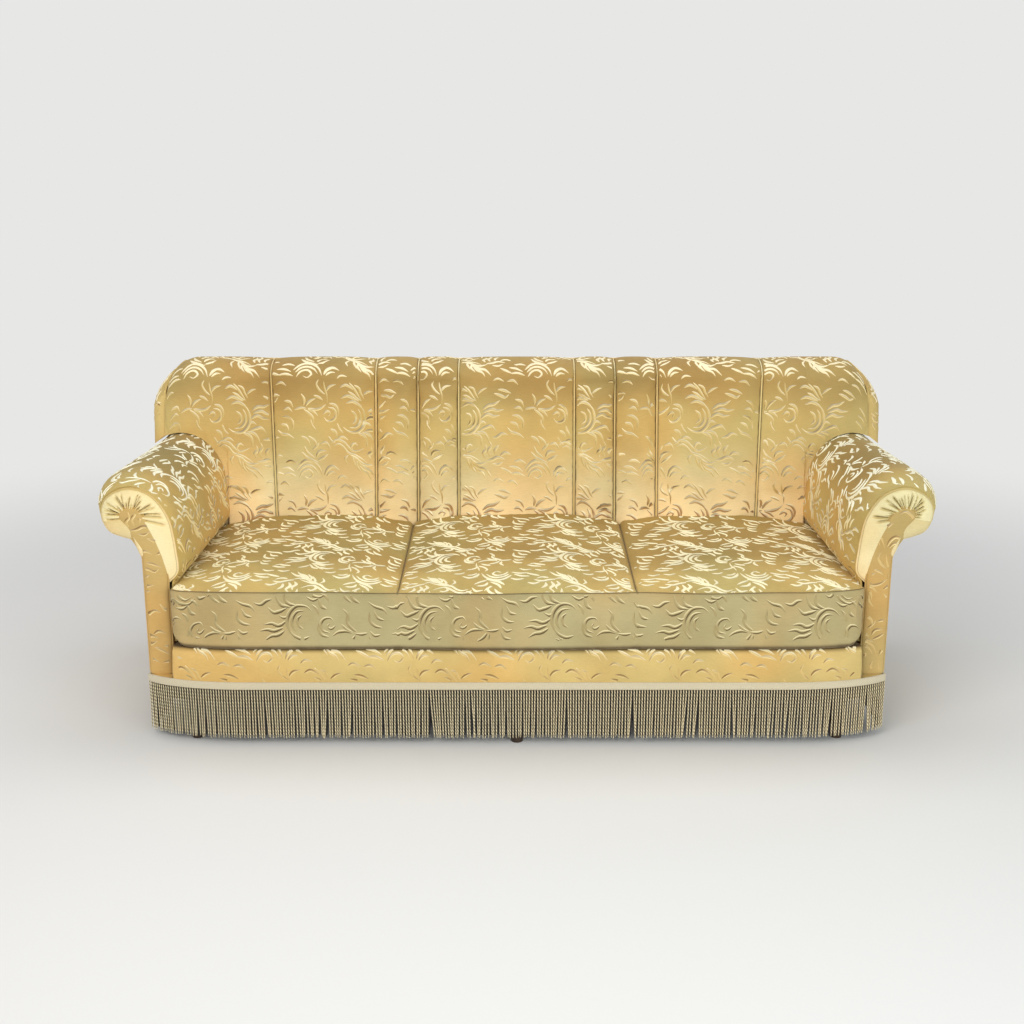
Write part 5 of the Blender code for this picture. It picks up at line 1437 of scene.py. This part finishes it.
CORNER_X, CORNER_Z = 0.925, 0.759
CORNER_RADIUS_X, CORNER_RADIUS_Z = 0.125, 0.098
CREST_FALL = 0.026
SEAM_CORNER = (0.9245, 0.795)
SEAM_RADIUS = 0.0903
TOP_SECTION = [
    (CREST_Y + 0.0006, 0.0090), (CREST_Y + 0.0006, 0.0006), (0.345, -0.0014), (0.385, -0.0018),
    (0.425, -0.0010), (0.440, 0.0006), (0.4462, 0.0040), (0.4470, 0.0090),
]  # fmt: skip
TOP_HALF_WIDTH = 0.9238


def border_corner(share, inset=0.0):
    """A point of the back's outline on its rounded corner, from its side to its top."""
    angle = math.pi / 2 * share
    x = CORNER_X + (CORNER_RADIUS_X - inset) * math.cos(angle)
    return x, CORNER_Z + (CORNER_RADIUS_Z - inset) * math.sin(angle)


def lowered(x, z, share):
    """A point on its way down to the arm, which the strip stops just above."""
    foot = arm_crest(x) + 0.003
    return x, foot + (z - foot) * share


def border_side(side):
    """Rings round the strip's section, from the arm up and round the corner."""
    rings = []
    for share in np.concatenate([np.linspace(-1, 0, 14, endpoint=False), np.linspace(0, 1, 26)]):
        turned = max(0.0, share)
        angle = math.pi / 2 * turned
        rim = border_corner(turned)
        cosine, sine = math.cos(angle), math.sin(angle)
        inner = (SEAM_CORNER[0] + SEAM_RADIUS * cosine, SEAM_CORNER[1] + SEAM_RADIUS * sine)
        low = border_corner(turned, 0.0095)
        if share < 0:
            rim, inner = lowered(*rim, 1 + share), lowered(*inner, 1 + share)
            low = (low[0], rim[1])
        rise = CREST_FALL * turned
        ring = []
        for place in np.linspace(0, math.pi / 2, 9):
            x = inner[0] + (rim[0] - inner[0]) * math.sin(place)
            z = inner[1] + (rim[1] + rise - inner[1]) * math.sin(place)
            front = face_y(z) + 0.012
            front += (CREST_Y + 0.001 - front) * min(1.0, 2 * turned)
            bow = 0.016 * (1 - math.cos(place)) - 0.003 * math.sin(2 * place)
            ring.append((side * x, front + bow, z))
        start, end = ring[-1][1], rear_y(rim[1], 0.007)
        for depth in np.linspace(0.15, 1, 7):
            swell = 0.0012 * math.sin(math.pi * depth) * cosine
            y, z = start + (end - start) * depth, rim[1] + rise * (1 - depth)
            ring.append((side * (rim[0] + swell), y, z))
        ring.append((side * low[0], end, low[1]))
        ring.append((side * low[0], rear_y(low[1], 0.0416), low[1]))
        ring.append((side * inner[0], rear_y(inner[1], 0.0416), inner[1] - rise))
        rings.append(ring)
    return rings


def strip_surface(rings, first, last, centred, mirrored=False):
    """The outside of a strip as a surface, from a first to a last point of its rings."""
    grid = np.array(rings)[:, first:last]
    u = travelled(grid.mean(axis=1))
    u = u - u[-1] / 2 if centred else u
    if mirrored:
        return Draped(grid[::-1], -u[::-1], travelled(grid)[::-1])
    return Draped(grid, u, travelled(grid))


def facing_out(surface, axis, sign):
    """The surface with its normals turned so that they face out along an axis."""
    if surface.data[:, :, 3 + axis].mean() * sign < 0:
        surface.data[:, :, 3:] *= -1
    return surface


for side, hand in SIDES:
    rings = border_side(side)
    surface = facing_out(strip_surface(rings, 1, 15, False, mirrored=side > 0), 0, side)
    seam = np.array([ring[0] for ring in rings]) + (0.0, -0.001, 0.0)
    border = upholstered(
        f"border_strip_{hand}",
        [loft(rings), tube(seam[:32], 0.0030, 7)],
        [surface],
        base_gold,
        base_raised,
        (f"back_border_{hand}",),
        (0.05, 0.02),
    )

rings = []
for x in np.linspace(-TOP_HALF_WIDTH, TOP_HALF_WIDTH, 240):
    ring = []
    for y, depth in TOP_SECTION:
        crest = BACK_TOP - 0.002 - CREST_FALL * (y - CREST_Y) / CORNER_RADIUS_X
        ring.append((x, y, crest - depth - 0.010 * channel_drop(x) * max(0, 1 - (y - CREST_Y) / 0.05)))
    rings.append(ring)
surface = facing_out(strip_surface(rings, 1, 7, True), 2, 1)
top_border = upholstered(
    "border_strip_top",
    [loft(rings)],
    [surface],
    base_gold,
    base_raised,
    ("back_border_top",),
    (0.0, 0.01),
)

# Outside back: one plain panel of gold velvet over the whole rear, from the crest to the base and
# out over both arms, sewn on by hand round its edge.

ARM_REAR_OUTLINE = [
    (BASE_HALF_WIDTH, 0.1158), (BASE_HALF_WIDTH, 0.300), (BASE_HALF_WIDTH, NECK_Z), (0.961, 0.532),
    (0.992, 0.544), (1.026, 0.556), (1.044, 0.581), (1.0496, 0.611), (1.0496, 0.700),
]  # fmt: skip

corner = [border_corner(share, 0.0004) for share in np.linspace(0, 1, 16)]
leg, shoulder = evened(ARM_REAR_OUTLINE[:3], 24), smooth_path(ARM_REAR_OUTLINE[2:], 40)
right_side = np.vstack([leg[:-1], shoulder[:-1], evened(ARM_REAR_OUTLINE[-1:] + corner, 40)])
across_top = evened([right_side[-1], right_side[-1] * (-1, 1)], 60)[1:-1]
left_side = right_side[::-1] * (-1, 1)
bottom = evened([left_side[-1], right_side[0]], 60)[1:-1]
outline = np.vstack([right_side, across_top, left_side, bottom])


def back_lift(x, z, height):
    return (x, rear_y(z, 0.006 - height), z)


body = pillow(outline, back_lift, [(0.0, 0.0035), (0.0012, 0.0052), (0.0040, 0.0062)], 0.0)
seam = np.array([back_lift(x, z, 0.0030) for x, z in np.vstack([right_side, across_top, left_side])])
along = (0.0, math.sin(REAR_LEAN), math.cos(REAR_LEAN))
panel = [(-x, z / math.cos(REAR_LEAN)) for x, z in outline]
surface = Flat((0.0, rear_y(0.0) + 0.0003, 0.0), (-1, 0, 0), along, panel, 0.010)
back_panel = upholstered(
    "back_panel",
    [body, tube(seam, 0.0026, 6)],
    [surface],
    base_gold,
    base_raised,
    ("outside_back",),
    (0.02, 0.05),
)

# Fringe: a pale woven header, glued and sewn round the base, and two-ply bullion cords that hang
# from it nearly to the floor. Some of them lean, and here and there they part. A near-black second
# row hangs behind the first: painted shade, which darkens the gaps between the cords.

CORD_PITCH = 0.0070
CORD_RADIUS = 0.00165
CORD_TOP = 0.1535
CORD_LOW = 0.020
CORD_LAY = 0.0096
CORD_SHARES = (0.85, 1.0, 1.0, 1.0, 1.0, 1.0, 1.0, 1.0, 1.12, 0.66)
SHADE_ROW_RADIUS = 0.0026
HEADER_THICKNESS = 0.005
HEADER_SECTION = [
    (0.0002, 0.1525), (0.0040, 0.1522), (0.0052, 0.1540), (0.0046, 0.1570), (0.0050, 0.1620),
    (0.0046, 0.1670), (0.0052, 0.1705), (0.0040, 0.1722), (0.0002, 0.1719),
]  # fmt: skip
FRINGE_HALF_WIDTH = 0.9503
FRINGE_FRONT_Y, FRINGE_REAR_Y = -0.356, 0.377
random.seed(12)


def braid():
    """Pale braid, woven in small dots."""
    make = Finish("fringe_header", roughness=0.8, sheen_weight=0.25, sheen_roughness=0.5)
    flow = make.node("ShaderNodeUVMap", "UV", uv_map="flow")
    along = make.part(flow, 1) * (math.tau / 0.0044)
    across = make.part(flow, 0) * (math.tau * 9)
    dots = (along.math("SINE") * across.math("SINE")).between(-0.5, 0.6)
    fine = make.noise(700.0, 2.0)
    make.colour(make.mix(linear(172, 152, 112), linear(248, 240, 214), dots * 0.75 + fine * 0.25))
    make.bump(dots + fine * 0.3, 0.0008, 0.8)
    return make.material


def twisted(name, pale, dark):
    """Two-ply bullion cord: a pale and a dark strand laid round each other; the dark one paints the shade in
    the twist.
    """
    make = Finish(name, roughness=0.55, sheen_weight=0.2, sheen_roughness=0.4)
    flow = make.node("ShaderNodeUVMap", "UV", uv_map="flow")
    turn = (make.part(flow, 0) * 2.0 + make.part(flow, 1) * (1 / CORD_LAY)) * math.tau
    ply = turn.math("SINE")
    strand = make.noise(1.0, 1.0, make.scaled(1500, 1500, 900))
    tone = make.noise(3.0, 1.0).between(0.3, 0.7)
    light = make.mix(linear(*pale[0]), linear(*pale[1]), strand)
    deep = make.mix(linear(*dark[0]), linear(*dark[1]), tone)
    make.colour(make.mix(deep, light, ply.between(-0.55, 0.05)))
    make.bump((ply * ply) + strand * 0.2, 0.0009, 0.8)
    return make.material


header_braid = braid()
# The cords' dark strand is painted shade in the twist of each pale cord.
cord_twist = twisted("fringe_cord", ((255, 238, 190), (255, 246, 210)), ((92, 60, 22), (134, 96, 44)))
# The second row's near-black cords are painted shade behind the front row.
shade_cords = twisted("fringe_shade_row", ((18, 12, 6), (24, 17, 9)), ((8, 5, 3), (12, 8, 4)))


def loft_flow(rings):
    """UV pairs for a loft's face corners: turns round it, and metres along it."""
    rings = np.asarray(rings, float)
    around = rings.shape[1]
    along = travelled(rings.mean(axis=1))
    flow = []
    for low, high in zip(along, along[1:]):
        for place in range(around):
            near, far = place / around, (place + 1) / around
            flow += [(near, low), (far, low), (far, high), (near, high)]
    if signed_volume(*raw_loft(rings)) < 0:
        flow = [pair for start in range(0, len(flow), 4) for pair in flow[start : start + 4][::-1]]
    return flow + [(0.0, 0.0)] * around + [(0.0, along[-1])] * around


def fringe_route(line):
    """A point for each cord along a line, with the direction that the fringe faces there."""
    points = evened(line, 1 + round(travelled(np.array(line))[-1] / CORD_PITCH))
    return np.concatenate([points, -left_of(points)], axis=1)


def fringe(side, route, gaps=()):
    """A header along a route of (x, y, outward x, outward y), and a cord at every step.

    Gaps are rows of x, how far the cords to its left and right are pushed aside, and their reach.
    """
    rings = []
    for x, y, nx, ny in route:
        section = [(out - HEADER_THICKNESS, z) for out, z in HEADER_SECTION]
        rings.append([(x + nx * out, y + ny * out, z) for out, z in section])
    parts = [(*loft(rings), 0)]
    flow = list(loft_flow(rings))
    for x, y, nx, ny in route:
        tx, ty = -ny, nx
        lean = random.gauss(0.0, 0.0012)
        end = CORD_LOW + random.uniform(-0.002, 0.003)
        if random.random() < 0.05:
            lean = random.choice((-1, 1)) * random.uniform(0.003, 0.008)
        for gap, left, right, reach in gaps:
            push = -left if x < gap else right
            lean += push * math.exp(-abs(x - gap) / reach)
        sway = random.uniform(-0.0012, 0.0004)
        front, behind = [], []
        for share in np.linspace(0, 1, len(CORD_SHARES)):
            drift = lean * share**1.4
            out = -0.0025 + sway * math.sin(math.pi * share)
            z = CORD_TOP + (end - CORD_TOP) * share
            front.append((x + tx * drift + nx * out, y + ty * drift + ny * out, z))
        for share in np.linspace(0, 1, 5):
            slide = CORD_PITCH / 2 + lean * share**1.4
            z = 0.1530 + (end + 0.006 - 0.1530) * share
            behind.append((x + tx * slide - nx * 0.0080, y + ty * slide - ny * 0.0080, z))
        cord = tube_rings(front, CORD_RADIUS, 6, CORD_SHARES)
        shade_row = tube_rings(behind, SHADE_ROW_RADIUS, 5)
        parts += [(*loft(cord), 1), (*loft(shade_row), 2)]
        flow += loft_flow(cord) + loft_flow(shade_row)
    finishes = [header_braid, cord_twist, shade_cords]
    build(f"bullion_{side}", parts, finishes, (f"fringe_{side}",), flow=flow)


bend_end = plan_angle(FRINGE_HALF_WIDTH, 0.0)
straight = [(x, PLAN_FRONT_Y) for x in np.linspace(0, BEND_START, 40, endpoint=False)]
bent = [plan_point(angle, 0.0) for angle in np.linspace(0, bend_end, 40)]
half = np.array(straight + bent)
pushed = ((-0.226, 0.001, 0.010, 0.045), (0.1275, 0.004, 0.004, 0.016), (-0.135, 0.002, 0.003, 0.018))
right_end = [(FRINGE_HALF_WIDTH, FRINGE_FRONT_Y), (FRINGE_HALF_WIDTH, FRINGE_REAR_Y)]
left_end = [(-x, y) for x, y in right_end[::-1]]
fringe("front", fringe_route(np.vstack([half[:0:-1] * (-1, 1), half])), pushed)
fringe("right", fringe_route(right_end))
fringe("left", fringe_route(left_end))
fringe("rear", fringe_route([(0.944, 0.3797), (-0.944, 0.3797)]))

# Floor, light and camera: a pale floor that runs into a pale world without a line, three soft
# studio lamps, and the camera at the height, tilt and focal length solved from the photograph.

BACKDROP = (0.80, 0.80, 0.79)
FLOOR_HALF_WIDTH = 30.0
FLOOR_FRONT_Y, FLOOR_REAR_Y = -9.0, 60.0


def looked_at(tree):
    """1 for what the camera sees, directly or by way of gloss or glass, and 0 for other light."""
    kinds = ("Camera", "Glossy", "Transmission")
    camera, glossy, through = (add(tree, "ShaderNodeLightPath", f"Is {kind} Ray") for kind in kinds)
    return (camera + glossy).math("ADD", through, clamp=True)


def backdrop():
    """The floor: far off it is seen at the plain level of the world behind it."""
    mesh = bpy.data.meshes.new("floor")
    half, front, rear = FLOOR_HALF_WIDTH, FLOOR_FRONT_Y, FLOOR_REAR_Y
    points = [(-half, front, 0.0), (half, front, 0.0), (half, rear, 0.0), (-half, rear, 0.0)]
    mesh.from_pydata(points, [], [(0, 1, 2, 3)])
    make = Finish("pale_floor", roughness=0.9)
    make.colour(BACKDROP)
    far = make.node("ShaderNodeVectorMath", 1, {0: make.place}, operation="LENGTH").between(1.25, 3.6)
    glow = make.node("ShaderNodeEmission", 0, {"Color": BACKDROP})
    lit = Value(make.tree, make.shader.outputs[0])
    blend = make.node("ShaderNodeMixShader", 0, {0: far * looked_at(make.tree), 1: lit, 2: glow})
    output = next(node for node in make.tree.nodes if node.type == "OUTPUT_MATERIAL")
    put(make.tree, output.inputs[0], blend)
    mesh.materials.append(make.material)
    ground = bpy.data.objects.new("floor", mesh)
    bpy.context.scene.collection.objects.link(ground)
    ground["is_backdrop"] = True


def studio_world():
    """A soft sky for light, which the camera sees as the plain backdrop."""
    world = bpy.data.worlds.new("studio")
    world.use_nodes = True
    tree = world.node_tree
    sky = tree.nodes["Background"]
    put(tree, sky.inputs["Color"], (0.96, 0.97, 1.0))
    put(tree, sky.inputs["Strength"], 0.44)
    light, plain = Value(tree, sky.outputs[0]), add(tree, "ShaderNodeBackground", 0, {"Color": BACKDROP})
    blend = add(tree, "ShaderNodeMixShader", 0, {0: looked_at(tree), 1: light, 2: plain})
    put(tree, tree.nodes["World Output"].inputs[0], blend)
    bpy.context.scene.world = world


def lamp(name, size, power, place, target, colour):
    light = bpy.data.lights.new(name, "AREA")
    light.shape = "RECTANGLE"
    light.size, light.size_y = size
    light.energy = power
    light.color = colour
    holder = bpy.data.objects.new(name, light)
    holder.location = place
    holder.rotation_euler = (Vector(target) - Vector(place)).to_track_quat("-Z", "Y").to_euler()
    bpy.context.scene.collection.objects.link(holder)


backdrop()
studio_world()
lamp("key", (2.6, 1.6), 72, (-1.6, -3.2, 3.0), (0.0, 0.0, 0.4), (1.0, 0.96, 0.90))
lamp("fill", (3.0, 1.6), 58, (1.6, -3.6, 1.3), (0.0, 0.0, 0.35), (0.94, 1.0, 0.97))
lamp("top", (3.0, 2.0), 34, (0.0, 0.6, 3.6), (0.0, 0.1, 0.4), (1.0, 1.0, 1.0))
bpy.context.scene.view_settings.view_transform = "Standard"

camera = bpy.data.cameras.new("camera")
camera.lens = 48.2
camera.sensor_width = 36.0
camera.clip_end = 60.0
viewer = bpy.data.objects.new("camera", camera)
viewer.location = (-0.013, -3.67, 1.50)
viewer.rotation_euler = (math.radians(90 - 15.2), 0.0, 0.0)
bpy.context.scene.collection.objects.link(viewer)
bpy.context.scene.camera = viewer

low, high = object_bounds()
